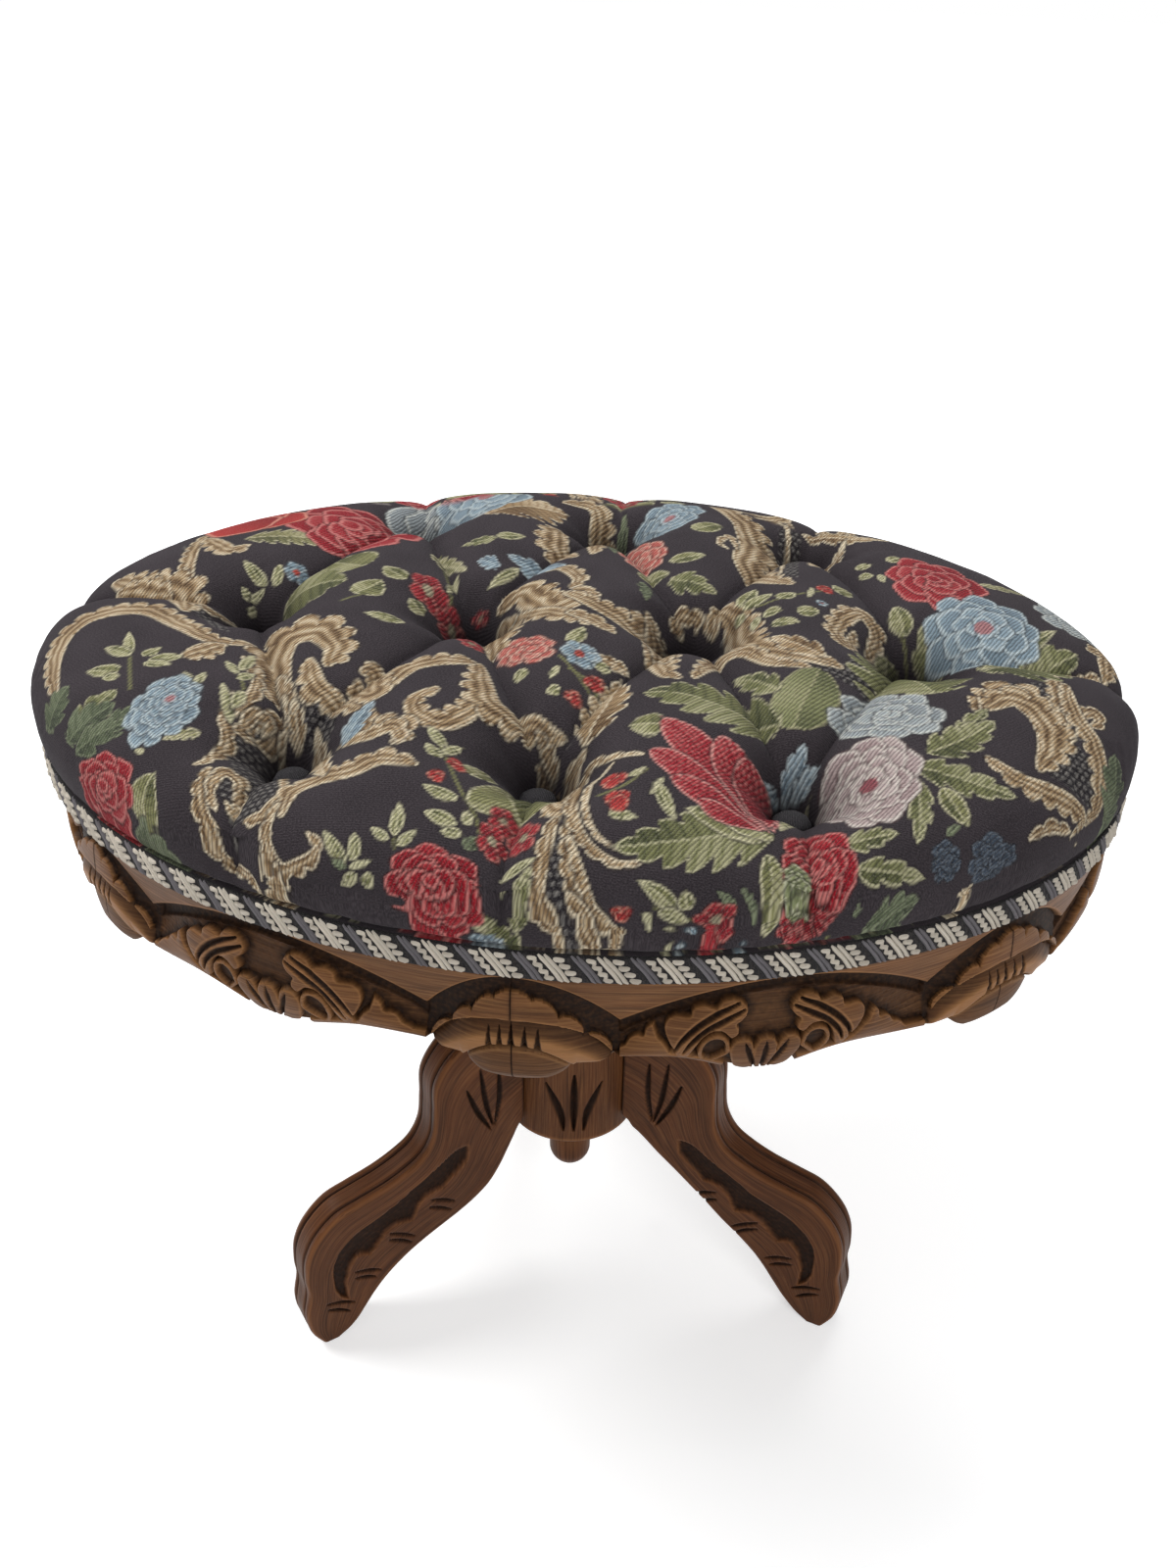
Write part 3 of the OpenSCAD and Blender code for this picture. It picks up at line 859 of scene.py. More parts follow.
# Kind, foot, tip and width of each leaf or petal
LEAVES = [
    ("fern", -204, 66, -149, 74, 23), ("leaf", -122, 31, -147, 51, 39),
    ("leaf", -119, -7, -109, 12, 18), ("leaf", -179, 26, -195, 39, 7),
    ("leaf", -174, 25, -174, 40, 6), ("leaf", -185, 17, -191, 21, 5),
    ("leaf", -186, 17, -179, 24, 4), ("leaf", -186, 13, -182, 12, 5),
    ("lobe", -166, 12, -128, 10, 43), ("leaf", -87, -28, -107, -27, 9),
    ("leaf", -83, 0, -92, 4, 12), ("leaf", -75, 23, -74, 44, 4), ("fern", -94, 71, -69, 46, 11),
    ("leaf", -97, 20, -111, 30, 13), ("lobe", -59, 82, -77, 75, 11), ("leaf", -58, 82, -44, 90, 10),
    ("leaf", -41, 54, -54, 30, 6), ("gold", -71, 122, -29, 150, 47), ("blue", -14, 55, -49, 62, 18),
    ("blue", -51, 50, -64, 51, 16), ("leaf", -215, -78, -226, -55, 6),
    ("leaf", -215, -76, -233, -69, 8), ("leaf", -208, -79, -202, -71, 8),
    ("leaf", -203, -85, -187, -79, 9), ("leaf", -216, -89, -235, -88, 10),
    ("leaf", -205, -85, -190, -88, 6), ("leaf", -215, -94, -223, -97, 7),
    ("leaf", -174, -103, -180, -94, 4), ("leaf", -171, -104, -171, -93, 5),
    ("leaf", -156, -89, -164, -79, 5), ("leaf", -156, -85, -155, -65, 6),
    ("leaf", -154, -93, -148, -85, 6), ("dark", -256, -116, -241, -98, 25),
    ("lobe", -223, -131, -211, -107, 25), ("dark", -213, -138, -196, -120, 19),
    ("fern", -159, -134, -174, -144, 8), ("leaf", 1, -45, 7, -27, 9),
    ("leaf", -17, -66, -20, -75, 7), ("leaf", -1, -67, -2, -77, 4), ("leaf", 3, -84, -3, -87, 8),
    ("leaf", -149, -122, -159, -99, 5), ("leaf", -148, -102, -151, -113, 6),
    ("dark", 11, 80, 6, 163, 11), ("leaf", 16, 145, 28, 151, 6), ("leaf", 54, 113, 68, 128, 17),
    ("leaf", 43, 71, 61, 79, 12), ("lobe", 44, 52, 71, 44, 20), ("leaf", 26, 62, 43, 58, 14),
    ("dark", 29, 47, 34, 26, 8), ("fern", 215, 82, 248, 89, 10), ("leaf", 148, 92, 156, 96, 7),
    ("leaf", 149, 83, 157, 82, 7), ("leaf", 165, 101, 173, 106, 9), ("leaf", 160, 82, 162, 72, 4),
    ("leaf", 171, 24, 168, 45, 12), ("lobe", 193, 2, 180, 30, 19), ("lobe", 208, -15, 263, 18, 46),
    ("leaf", 209, -14, 254, 36, 12), ("lobe", 186, -55, 163, 13, 64), ("leaf", 83, 27, 92, 44, 11),
    ("leaf", 87, 23, 100, 35, 9), ("leaf", 85, 22, 84, 15, 5), ("leaf", 97, 14, 106, 12, 9),
    ("leaf", 102, 3, 115, -3, 10), ("leaf", 93, 13, 93, 2, 5), ("leaf", 105, 26, 112, 34, 10),
    ("leaf", 114, 12, 126, 14, 12), ("leaf", 135, 48, 145, 55, 14), ("leaf", 120, 30, 122, 45, 3),
    ("round", 118, -96, 123, -47, 31), ("lobe", 108, -96, 44, -81, 39),
    ("leaf", 55, -114, 40, -115, 17), ("gold", 33, -56, 15, -49, 10), ("leaf", 24, -58, 16, -59, 8),
    ("gold", 19, -116, 29, -61, 23), ("gold", 128, -36, 103, -16, 19),
    ("gold", 117, 160, 170, 147, 13), ("gold", 120, 83, 144, 153, 11),
    ("lobe", 191, -95, 207, -68, 13), ("lobe", 107, -68, 85, -52, 17),
    ("leaf", -186, -183, -172, -164, 20), ("dark", -199, -178, -169, -199, 16),
    ("leaf", -73, -210, -83, -196, 6), ("leaf", -69, -208, -70, -197, 6),
    ("dark", -73, -211, -79, -207, 4), ("leaf", -71, -211, -61, -208, 3),
    ("leaf", -68, -214, -77, -218, 5), ("leaf", -65, -213, -62, -219, 6),
    ("leaf", -51, -198, -53, -182, 6), ("leaf", -54, -200, -62, -194, 4),
    ("leaf", -50, -202, -43, -195, 5), ("gold", -118, -119, -124, -99, 9),
    ("gold", -90, -163, -111, -111, 11), ("blue", -92, -132, -81, -109, 13),
    ("leaf", -42, -140, -50, -129, 6), ("leaf", -41, -148, -49, -141, 6),
    ("leaf", -41, -144, -34, -135, 5), ("leaf", -26, -153, -22, -140, 15),
    ("leaf", -28, -176, -44, -170, 7), ("leaf", -22, -176, -21, -161, 5),
    ("leaf", -26, -189, -41, -186, 7), ("leaf", -20, -188, -24, -182, 5),
    ("leaf", -23, -194, -32, -193, 5), ("dark", -20, -200, -16, -192, 7),
    ("leaf", 4, -175, -12, -147, 41), ("leaf", -4, -207, 10, -201, 5),
    ("lobe", 2, -236, -10, -213, 16), ("lobe", 4, -222, 8, -204, 9),
    ("leaf", -10, -221, -16, -221, 5), ("dark", -233, -133, -211, -114, 28),
    ("dark", -227, -140, -195, -128, 17), ("leaf", -182, -151, -187, -149, 3),
    ("leaf", 57, -116, 40, -114, 17), ("lobe", 176, -110, 208, -76, 21),
    ("lobe", 169, -122, 217, -123, 20), ("lobe", 172, -129, 171, -164, 13),
    ("leaf", 183, -131, 195, -149, 12), ("lobe", 140, -169, 163, -163, 13),
    ("lobe", 146, -180, 180, -176, 11), ("lobe", 109, -177, 42, -191, 31),
    ("leaf", 109, -184, 114, -210, 11), ("leaf", 106, -176, 71, -171, 16),
    ("leaf", 109, -176, 84, -168, 12), ("leaf", 75, -215, 55, -207, 7),
    ("leaf", 79, -213, 75, -207, 7), ("leaf", 66, -217, 81, -218, 5),
    ("dark", 100, -210, 89, -205, 4), ("dark", 108, -208, 99, -201, 4),
    ("dark", 163, -197, 181, -180, 15), ("dark", 153, -192, 152, -188, 4),
    ("leaf", 59, -153, 54, -164, 4), ("leaf", 56, -156, 67, -176, 6),
    ("leaf", 44, -152, 50, -146, 4), ("leaf", 64, -221, 59, -217, 3),
    ("leaf", 70, -226, 75, -222, 2), ("dark", 286, -101, 274, -68, 28),
    ("gold", 211, -177, 210, -168, 7), ("blue", 113, -122, 120, -102, 11),
    ("blue", 118, -121, 127, -108, 7), ("leaf", 112, -168, 124, -121, 6),
    ("dark", 185, -156, 191, -150, 4), ("blue", 111, -122, 103, -121, 7),
    ("leaf", 38, -176, 50, -178, 6), ("petal", 108, -172, 56, -108, 23),
    ("petal", 107, -172, 51, -134, 18), ("petal", 106, -170, 62, -152, 16),
    ("petal", 108, -169, 84, -112, 25), ("petal", 107, -168, 94, -118, 22),
    ("petal", 104, -172, 76, -162, 13),
]

# Kind, middle, half width, half height and turn in degrees of each flower
FLOWERS = [
    ("rose", -147, 100, 36, 45, 50), ("grey", -102, 153, 35, 44, -34),
    ("blue", -81, 166, 30, 39, -17), ("small", -85, 19, 10, 14, 36), ("small", -70, 8, 8, 10, 47),
    ("small", -49, -40, 7, 8, 59), ("small", -56, 17, 5, 3, -4), ("pink", -19, -50, 16, 13, -17),
    ("star", 10, -53, 9, 11, 22), ("bud", 19, -71, 5, 5, 34), ("bud", 10, -87, 5, 6, 30),
    ("blue", -182, -123, 18, 26, -1), ("star", -165, 38, 7, 8, 32), ("bud", -208, 104, 28, 35, -45),
    ("blue", 36, 147, 20, 26, -28), ("pink", 26, 85, 14, 20, 11), ("rose", 191, 74, 26, 36, 21),
    ("blue", 213, 26, 31, 34, 9), ("bud", 129, 46, 5, 6, 33), ("star", 127, 25, 3, 4, 24),
    ("star", 8, -53, 9, 12, 19), ("bud", 18, -72, 5, 5, 32), ("bud", 10, -87, 4, 5, 32),
    ("grey", 158, -77, 28, 24, 6), ("grey", 268, 62, 23, 24, 42), ("rose", -209, -160, 25, 15, -20),
    ("bud", -34, -149, 4, 6, 42), ("bud", -40, -163, 4, 5, 13), ("small", -7, -180, 7, 7, 34),
    ("small", -10, -192, 7, 9, 26), ("small", 3, -188, 7, 9, -15), ("rose", -33, -215, 22, 15, 3),
    ("blue", -10, -232, 11, 7, 6), ("blue", -180, -116, 14, 18, -1),
    ("pale", 150, -129, 23, 30, -17), ("rose", 130, -181, 16, 20, 14),
    ("rose", 130, -199, 13, 9, 21), ("green", 122, -190, 8, 8, 12), ("bud", 37, -153, 6, 8, -21),
    ("bud", 41, -168, 6, 8, 2), ("small", 92, -214, 10, 6, 14), ("bud", 50, -218, 5, 3, 5),
    ("star", 110, -219, 9, 5, 9), ("small", 153, -210, 10, 9, 18), ("slate", 212, -155, 15, 10, 24),
    ("slate", 188, -166, 8, 8, 19), ("star", 81, -225, 7, 4, 14),
]

# Width and middle line of each scroll
SCROLLS = [
    (16, [(-252, -96), (-261, -76), (-266, -52), (-261, -35), (-246, -28), (-224, -29),
     (-198, -47), (-177, -60), (-159, -54)]),
    (9, [(-225, 96), (-233, 73), (-227, 37), (-218, 11), (-201, -7), (-190, 1)]),
    (24, [(-267, 24), (-247, 15), (-232, 13), (-222, 8), (-208, -20)]),
    (18, [(-261, 14), (-243, 11), (-229, 8)]),
    (14, [(-199, 55), (-209, 50), (-230, 72)]),
    (16, [(-186, -79), (-179, -72), (-171, -64)]),
    (25, [(-131, -98), (-143, -73), (-145, -56), (-137, -47), (-124, -48), (-113, -62),
     (-113, -76)]),
    (14, [(-124, -74), (-115, -93), (-104, -98), (-87, -111)]),
    (17, [(-44, -64), (-59, -70), (-71, -74), (-78, -85), (-81, -99), (-85, -109)]),
    (16, [(-96, -74), (-91, -74), (-86, -97), (-92, -94), (-97, -82)]),
    (13, [(-54, -99), (-62, -109), (-58, -121), (-48, -125), (-39, -116), (-34, -101),
     (-35, -76)]),
    (17, [(-40, -65), (-31, -97), (-19, -104), (-6, -106), (8, -110)]),
    (23, [(-44, 20), (-32, 23), (-12, -3), (1, 12), (8, 13)]),
    (14, [(-32, 3), (-10, -13), (4, -16), (21, -22)]),
    (10, [(-25, 49), (-15, 48), (-4, 31), (-6, 17)]),
    (16, [(-30, 162), (-15, 164), (-7, 152), (-1, 72)]),
    (19, [(-28, 122), (-26, 92), (-12, 70)]),
    (20, [(-42, 10), (-37, -35), (-37, -46)]),
    (7, [(-148, -78), (-144, -103), (-151, -117), (-149, -132)]),
    (9, [(-141, -126), (-140, -115), (-132, -111), (-131, -118), (-137, -122)]),
    (7, [(-129, -90), (-123, -106), (-119, -116)]),
    (7, [(-138, -80), (-126, -103), (-125, -115)]),
    (15, [(-81, -117), (-85, -127), (-92, -132)]),
    (13, [(-63, -144), (-62, -133), (-71, -128), (-77, -131)]),
    (25, [(62, 173), (75, 156), (85, 139), (90, 106), (87, 84), (98, 60), (110, 50)]),
    (3, [(88, 164), (102, 167), (109, 149), (104, 65)]),
    (5, [(79, 97), (74, 111), (69, 99), (74, 93)]),
    (19, [(71, 19), (72, 28), (79, 24), (84, 16), (91, -22), (106, -33), (121, -38), (136, -39)]),
    (12, [(153, 2), (157, 21), (146, 28), (135, 4), (140, -9), (145, 10)]),
    (10, [(66, -65), (76, -33), (89, -30), (102, -43), (123, -48)]),
    (20, [(-6, 10), (7, 3), (19, 0), (32, -2), (41, 3), (50, -58), (58, -68)]),
    (12, [(-3, -13), (9, -16), (22, -25)]),
    (13, [(36, 17), (40, 5), (51, -48)]),
    (8, [(54, 18), (51, 24), (61, 26), (62, 22)]),
    (23, [(201, -67), (216, -49), (230, -53), (238, -68), (234, -87)]),
    (11, [(245, -15), (245, -45), (251, -57), (258, -68)]),
    (4, [(244, -18), (271, 8), (285, -8)]),
    (9, [(255, -69), (253, -55), (261, -46), (264, -52), (259, -59)]),
    (15, [(272, 30), (283, 33), (279, 9)]),
    (7, [(-153, -105), (-152, -121), (-147, -133), (-150, -151), (-154, -157)]),
    (8, [(-147, -158), (-148, -172), (-144, -184), (-134, -193), (-126, -201), (-124, -210)]),
    (4, [(-131, -95), (-125, -110), (-126, -120), (-108, -172), (-111, -184), (-113, -196),
     (-119, -205)]),
    (7, [(-139, -179), (-143, -171), (-140, -159), (-132, -162), (-130, -177), (-135, -175)]),
    (6, [(-138, -124), (-144, -122), (-140, -112), (-133, -113), (-135, -118)]),
    (8, [(-123, -186), (-114, -186), (-109, -176)]),
    (14, [(-105, -187), (-103, -173), (-93, -165), (-79, -162), (-67, -155), (-51, -157)]),
    (10, [(-89, -134), (-76, -135), (-66, -132), (-61, -144)]),
    (7, [(-108, -182), (-111, -192), (-111, -201), (-105, -210), (-93, -208), (-86, -203),
     (-91, -197)]),
    (12, [(-109, -207), (-114, -217), (-110, -222)]),
    (5, [(-145, -211), (-131, -216), (-117, -217)]),
    (7, [(17, -172), (14, -190), (13, -206), (14, -216), (20, -221), (27, -232)]),
    (7, [(22, -174), (23, -191), (26, -207), (31, -216), (40, -219)]),
    (16, [(6, -121), (2, -123), (16, -173), (15, -131), (19, -119)]),
    (6, [(-4, -108), (2, -115), (7, -122)]),
    (6, [(48, -136), (33, -133), (23, -134), (21, -167), (25, -185), (33, -196), (45, -201),
     (57, -198)]),
    (3, [(35, -137), (27, -154), (28, -176), (35, -190), (47, -196)]),
    (5, [(23, -191), (30, -207), (37, -219), (45, -223), (62, -233)]),
    (7, [(26, -215), (34, -222), (45, -232), (55, -232)]),
    (21, [(205, -66), (219, -53), (233, -62), (237, -81), (230, -102)]),
    (12, [(249, -26), (251, -53), (260, -72), (264, -89), (266, -107), (257, -123)]),
    (12, [(204, -106), (219, -114), (238, -114), (257, -113), (264, -120)]),
    (6, [(228, -139), (239, -129), (254, -123)]),
]

# Outlines of the beaded fields
BEADS = [
    [(-149, -123), (-131, -103), (-108, -169), (-116, -184), (-130, -185), (-142, -168),
     (-140, -151)],
    [(-117, -97), (-100, -107), (-101, -124), (-119, -116), (-122, -104)],
    [(-244, 71), (-222, 8), (-182, -46), (-174, -47), (-213, 8), (-226, 36)],
    [(76, 17), (89, -25), (106, -40), (136, -41), (152, -13), (156, -67), (147, -52), (102, -42),
     (75, 11)],
    [(103, 160), (117, 160), (114, 58), (104, 66)],
    [(229, -43), (244, -50), (244, -90), (259, -96), (265, -106), (234, -105), (240, -70),
     (224, -58)],
    [(194, -66), (220, -38), (245, -27), (248, -48), (253, -72), (243, -83), (241, -55),
     (223, -46)],
    [(12, -190), (19, -190), (24, -215), (34, -222), (38, -230), (28, -231), (16, -217)],
    [(241, -72), (256, -83), (260, -100), (244, -97)],
    [(-20, -100), (-1, -104), (15, -114), (7, -112), (-11, -108)],
]

STEMS = [
    [(-46, -134), (-37, -151), (-27, -171), (-19, -183), (-15, -192)],
    [(-1, -58), (10, -71), (19, -82)],
    [(-90, 72), (-73, 22), (-73, 10)],
    [(-123, -16), (-115, -9)],
    [(81, 24), (98, 23), (120, 36), (132, 47)],
    [(5, -67), (17, -74), (28, -92)],
    [(-72, -215), (-70, -210)],
    [(-51, -203), (-51, -198)],
    [(32, -165), (43, -158), (51, -148)],
    [(64, -215), (75, -217), (92, -214)],
    [(-215, -79), (-204, -107)],
    [(171, 24), (174, 16), (187, -44)],
    [(-153, -90), (-148, -102)],
    [(146, -202), (155, -208)],
]

CLOTH_TONES = {
    "leaf": ((0.060, 0.068, 0.028), (0.25, 0.245, 0.105), (0.62, 0.58, 0.37)),
    "lobe": ((0.052, 0.060, 0.026), (0.205, 0.208, 0.088), (0.53, 0.50, 0.31)),
    "fern": ((0.070, 0.074, 0.034), (0.28, 0.262, 0.122), (0.63, 0.58, 0.38)),
    "dark": ((0.040, 0.050, 0.032), (0.11, 0.135, 0.075), (0.22, 0.25, 0.15)),
    "round": ((0.10, 0.11, 0.050), (0.24, 0.25, 0.115), (0.40, 0.38, 0.22)),
    "gold": ((0.105, 0.055, 0.024), (0.42, 0.285, 0.150), (0.84, 0.72, 0.52)),
    "blue": ((0.085, 0.12, 0.15), (0.27, 0.36, 0.42), (0.52, 0.60, 0.62)),
    "petal": ((0.10, 0.004, 0.010), (0.38, 0.015, 0.028), (0.76, 0.34, 0.30)),
    "rose": ((0.09, 0.004, 0.009), (0.36, 0.013, 0.024), (0.66, 0.22, 0.20)),
    "small": ((0.13, 0.012, 0.018), (0.42, 0.030, 0.040), (0.58, 0.20, 0.17)),
    "bud": ((0.20, 0.014, 0.018), (0.50, 0.045, 0.040), (0.70, 0.30, 0.22)),
    "pink": ((0.33, 0.060, 0.050), (0.60, 0.16, 0.13), (0.72, 0.46, 0.36)),
    "pale": ((0.20, 0.105, 0.115), (0.50, 0.40, 0.38), (0.68, 0.61, 0.55)),
    "grey": ((0.12, 0.14, 0.155), (0.38, 0.42, 0.43), (0.62, 0.64, 0.60)),
    "slate": ((0.020, 0.026, 0.038), (0.060, 0.080, 0.11), (0.14, 0.17, 0.21)),
    "star": ((0.10, 0.15, 0.19), (0.32, 0.42, 0.48), (0.56, 0.62, 0.62)),
    "green": ((0.10, 0.12, 0.06), (0.30, 0.33, 0.16), (0.58, 0.58, 0.40)),
}
RINGS = {
    "rose": ((7, 0.62, 0.42), (6, 0.42, 0.36), (5, 0.24, 0.28), (3, 0.10, 0.18)),
    "blue": ((9, 0.70, 0.30), (8, 0.50, 0.27), (6, 0.30, 0.24), (4, 0.13, 0.16)),
    "grey": ((8, 0.68, 0.33), (7, 0.46, 0.30), (5, 0.26, 0.25), (3, 0.10, 0.15)),
    "pale": ((9, 0.68, 0.34), (8, 0.50, 0.30), (7, 0.34, 0.25), (5, 0.19, 0.19), (3, 0.08, 0.12)),
    "slate": ((7, 0.66, 0.34), (6, 0.42, 0.30), (4, 0.20, 0.22)),
    "pink": ((8, 0.66, 0.32), (6, 0.38, 0.30), (4, 0.16, 0.20)),
    "small": ((5, 0.58, 0.42),),
    "star": ((6, 0.60, 0.36),),
    "bud": ((3, 0.34, 0.60),),
    "green": ((6, 0.55, 0.36), (4, 0.25, 0.28)),
}
HEARTS = {"small": (0.42, 0.36, 0.24), "star": (0.50, 0.07, 0.05), "blue": (0.52, 0.24, 0.25),
          "pale": (0.34, 0.09, 0.11)}
# Powers that say where a leaf is widest and how full it is
LEAF_SHAPES = {"petal": (1.5, 0.6), "round": (0.95, 0.45), "lobe": (0.72, 0.72)}
# Least number of teeth of a leaf, and the length of each
TEETH = {"lobe": (3, 12), "fern": (4, 8), "dark": (3, 12), "gold": (3, 11), "blue": (3, 12)}


class Needle:
    """Works motifs into the cloth, and keeps its flat map in millimetres, its colour and how far
    it is worked."""

    def __init__(self, flat, ground):
        self.flat = flat
        self.tone = np.tile(np.asarray(ground, float), (len(flat), 1))
        self.worked = np.zeros(len(flat))

    def near(self, low, high):
        inside = (self.flat > np.asarray(low)).all(1) & (self.flat < np.asarray(high)).all(1)
        return np.nonzero(inside)[0]

    def lay(self, which, cover, tone, worked=1.0):
        cover = np.clip(cover, 0, 1)
        self.tone[which] += (tone - self.tone[which]) * cover[:, None]
        self.worked[which] += (worked - self.worked[which]) * cover

    def shades(self, tones, share):
        """A colour from dark through middle to light for shares from 0 to 1."""
        dark, middle, light = (np.asarray(t) for t in tones)
        share = np.clip(share, 0, 1)[:, None]
        return np.where(share < 0.5, dark + (middle - dark) * share * 2,
                        middle + (light - middle) * (share * 2 - 1))

    def stem(self, path, width=1.1):
        line = chain(path, 10 * len(path))
        which = self.near(line.min(0) - 4, line.max(0) + 4)
        if len(which):
            gap = to_line(self.flat[which, 0], self.flat[which, 1], line)[0]
            self.lay(which, step(width, width - 0.8, gap), np.asarray(CLOTH_TONES["leaf"][1]) * 0.8)

    def leaf(self, kind, x0, y0, x1, y1, width):
        """A leaf or petal from its foot to its tip; lobed, feathered or plain by its kind."""
        foot, tip = np.array([x0, y0], float), np.array([x1, y1], float)
        length = max(np.linalg.norm(tip - foot), 3.0)
        ahead = (tip - foot) / length
        reach = max(length, width) * 0.75 + 4
        middle = (foot + tip) / 2
        which = self.near(middle - reach, middle + reach)
        if not len(which):
            return
        p = self.flat[which] - foot
        u = p @ ahead / length
        v = p @ np.array([-ahead[1], ahead[0]])
        bend = 0.10 * width * np.sin(u * 2.6 + x0)
        v = v + bend
        side = np.abs(v)
        half = width / 2
        share = np.clip(u, 0, 1)
        fullest, fullness = LEAF_SHAPES.get(kind, (0.8, 0.72))
        shape = np.clip(np.sin(math.pi * share ** fullest), 0, None) ** fullness
        least, size = TEETH.get(kind, (0, math.inf))
        teeth = max(least, round(length / size))
        lean = u - 0.38 * side / length
        if teeth:
            saw = np.mod(lean * teeth, 1.0)
            tooth = np.sin(np.clip(saw * 1.25, 0, 1) * math.pi / 2)
            shape = shape * (0.56 + 0.44 * tooth * step(1.0, 0.93, saw))
        inside = half * shape - side
        inside = np.minimum(inside, np.minimum(u, 1.02 - u) * length)
        tones = CLOTH_TONES[kind]
        veins = teeth * 2 if teeth else max(4, round(length / 4))
        saw = np.mod(lean * veins, 1.0)
        glow = (0.42 + 0.22 * np.where(v > 0, 1, -1) * 0.6 + 0.16 * np.sin(u * 7 + y0)
                + 0.10 * side / max(half, 1))
        if kind == "petal":
            glow = 0.22 + 0.45 * u + 0.16 * np.sin(v * 2.2)
        glow = glow - 0.30 * bell(saw - 0.5, 0.13) * (side > 0.5)
        glow = np.where(side < 0.55, 0.85 if kind != "petal" else 0.30, glow)
        glow = np.where(inside < 0.95, 0.98, glow)
        tone = self.shades(tones, glow)
        self.lay(which, step(-1.4, -0.6, inside) * 0.8, np.array([0.012, 0.010, 0.012]), 0.0)
        self.lay(which, step(-0.5, 0.4, inside), tone)

    def flower(self, kind, x, y, wide, high, turn):
        """A flower of rings of petals, from the outer ring to the heart."""
        reach = max(wide, high) * 1.15 + 3
        which = self.near([x - reach, y - reach], [x + reach, y + reach])
        if not len(which):
            return
        a = math.radians(turn)
        p = self.flat[which] - np.array([x, y])
        u = (p[:, 0] * math.cos(a) + p[:, 1] * math.sin(a)) / wide
        v = (-p[:, 0] * math.sin(a) + p[:, 1] * math.cos(a)) / high
        mean = (wide + high) / 2
        tones = CLOTH_TONES[kind]
        for number, (count, away, size) in enumerate(RINGS[kind]):
            for k in range(count):
                cell = np.array([[round(x) + 7 * k, round(y) + 3 * number]])
                jog = scatter(cell, 3)[0] - 0.5
                swell = 1 + 0.28 * (scatter(cell, 5)[0] - 0.5)
                angle = 2 * math.pi * (k + 0.5 * number + 0.28 * jog) / count + 0.7
                cu, cv = away * math.cos(angle), away * math.sin(angle)
                du, dv = u - cu, v - cv
                round_at = np.arctan2(dv, du)
                r = np.hypot(du, dv) * (1 + 0.05 * np.cos(5 * round_at + k)) / (size * swell)
                inside = (1 - r) * size * mean
                out = (du * math.cos(angle) + dv * math.sin(angle)) / size
                across = du * math.sin(angle) - dv * math.cos(angle)
                strokes = 0.10 * np.sin(mean * 2.4 * across + k)
                glow = 0.30 + 0.20 * out + 0.22 * jog + strokes + 0.05 * number
                glow = np.where(inside < 0.05 * mean + 0.25, 0.93, glow)
                tone = self.shades(tones, glow)
                edge = np.asarray(tones[0]) * 0.35
                self.lay(which, step(-0.9, -0.2, inside) * 0.85, edge, 0.6)
                self.lay(which, step(-0.25, 0.45, inside), tone)
        heart = HEARTS.get(kind)
        if heart:
            r = np.hypot(u, v)
            size = {"small": 0.26, "star": 0.26}.get(kind, 0.16)
            inside = (size - r) * mean
            grain = 0.75 + 0.35 * np.sin(9 * u * mean / 3) * np.sin(9 * v * mean / 3)
            self.lay(which, step(-0.4, 0.3, inside), np.asarray(heart) * grain[:, None])

    def scroll(self, width, path):
        """A band of acanthus with a ribbed body, a scalloped outer edge and tapering ends."""
        line = chain(path, 14 * len(path))
        which = self.near(line.min(0) - width, line.max(0) + width)
        if not len(which):
            return
        x, y = self.flat[which].T
        gap, share = to_line(x, y, line)
        at = share * (len(line) - 1)
        k = np.clip(at.astype(int), 0, len(line) - 2)
        ahead = line[k + 1] - line[k]
        off = np.c_[x, y] - line[k]
        side = np.sign(ahead[:, 0] * off[:, 1] - ahead[:, 1] * off[:, 0])
        turn = np.cross(line[1] - line[0], line[-1] - line[0])
        outer = -np.sign(turn) if turn else 1.0
        length = np.linalg.norm(np.diff(line, axis=0), axis=1).sum()
        taper = np.clip(np.sin(math.pi * np.clip(0.06 + 0.90 * share, 0, 1)), 0, 1) ** 0.6
        lobes = max(3, round(length / 9))
        saw = np.mod(share * lobes, 1.0)
        scallop = np.sin(math.pi * np.clip(saw * 1.12, 0, 1)) ** 0.6
        half = width / 2 * taper * np.where(side == outer, 0.72 + 0.62 * scallop, 0.85)
        inside = half - gap
        q = gap / np.maximum(half, 0.5) * side * outer
        tones = CLOTH_TONES["gold"]
        ribs = np.cos(q * math.pi * (2 + (width > 9)) + 0.6 * np.sin(share * lobes * math.pi))
        glow = 0.42 + 0.30 * ribs + 0.10 * np.sin(share * 23 + width)
        glow = glow - 0.35 * ((side == outer) & (q > 0.30)) * (np.abs(saw - 0.02) < 0.11)
        glow = np.where(inside < 0.85, 0.95, glow)
        thread = 0.12 * np.sin((x * 0.8 + y * 1.3) * 2.4)
        tone = self.shades(tones, glow + thread)
        self.lay(which, step(-1.6, -0.5, inside) * 0.85, np.array([0.016, 0.011, 0.009]), 0.2)
        self.lay(which, step(-0.45, 0.4, inside), tone)

    def beads(self, outline):
        """A field of small stitched beads on black."""
        outline = np.asarray(outline, float)
        which = self.near(outline.min(0) - 2, outline.max(0) + 2)
        if not len(which):
            return
        x, y = self.flat[which].T
        inside = -to_shape(x, y, outline)
        row = np.round(y / 3.3)
        col = np.round(x / 3.8 - 0.5 * np.mod(row, 2))
        r = np.hypot(x - (col + 0.5 * np.mod(row, 2)) * 3.8, (y - row * 3.3) * 1.15)
        cover = step(-0.5, 0.5, inside)
        self.lay(which, cover, np.array([0.010, 0.009, 0.011]), 0.3)
        self.lay(which, cover * step(1.45, 0.85, r), np.array([0.20, 0.185, 0.17]))


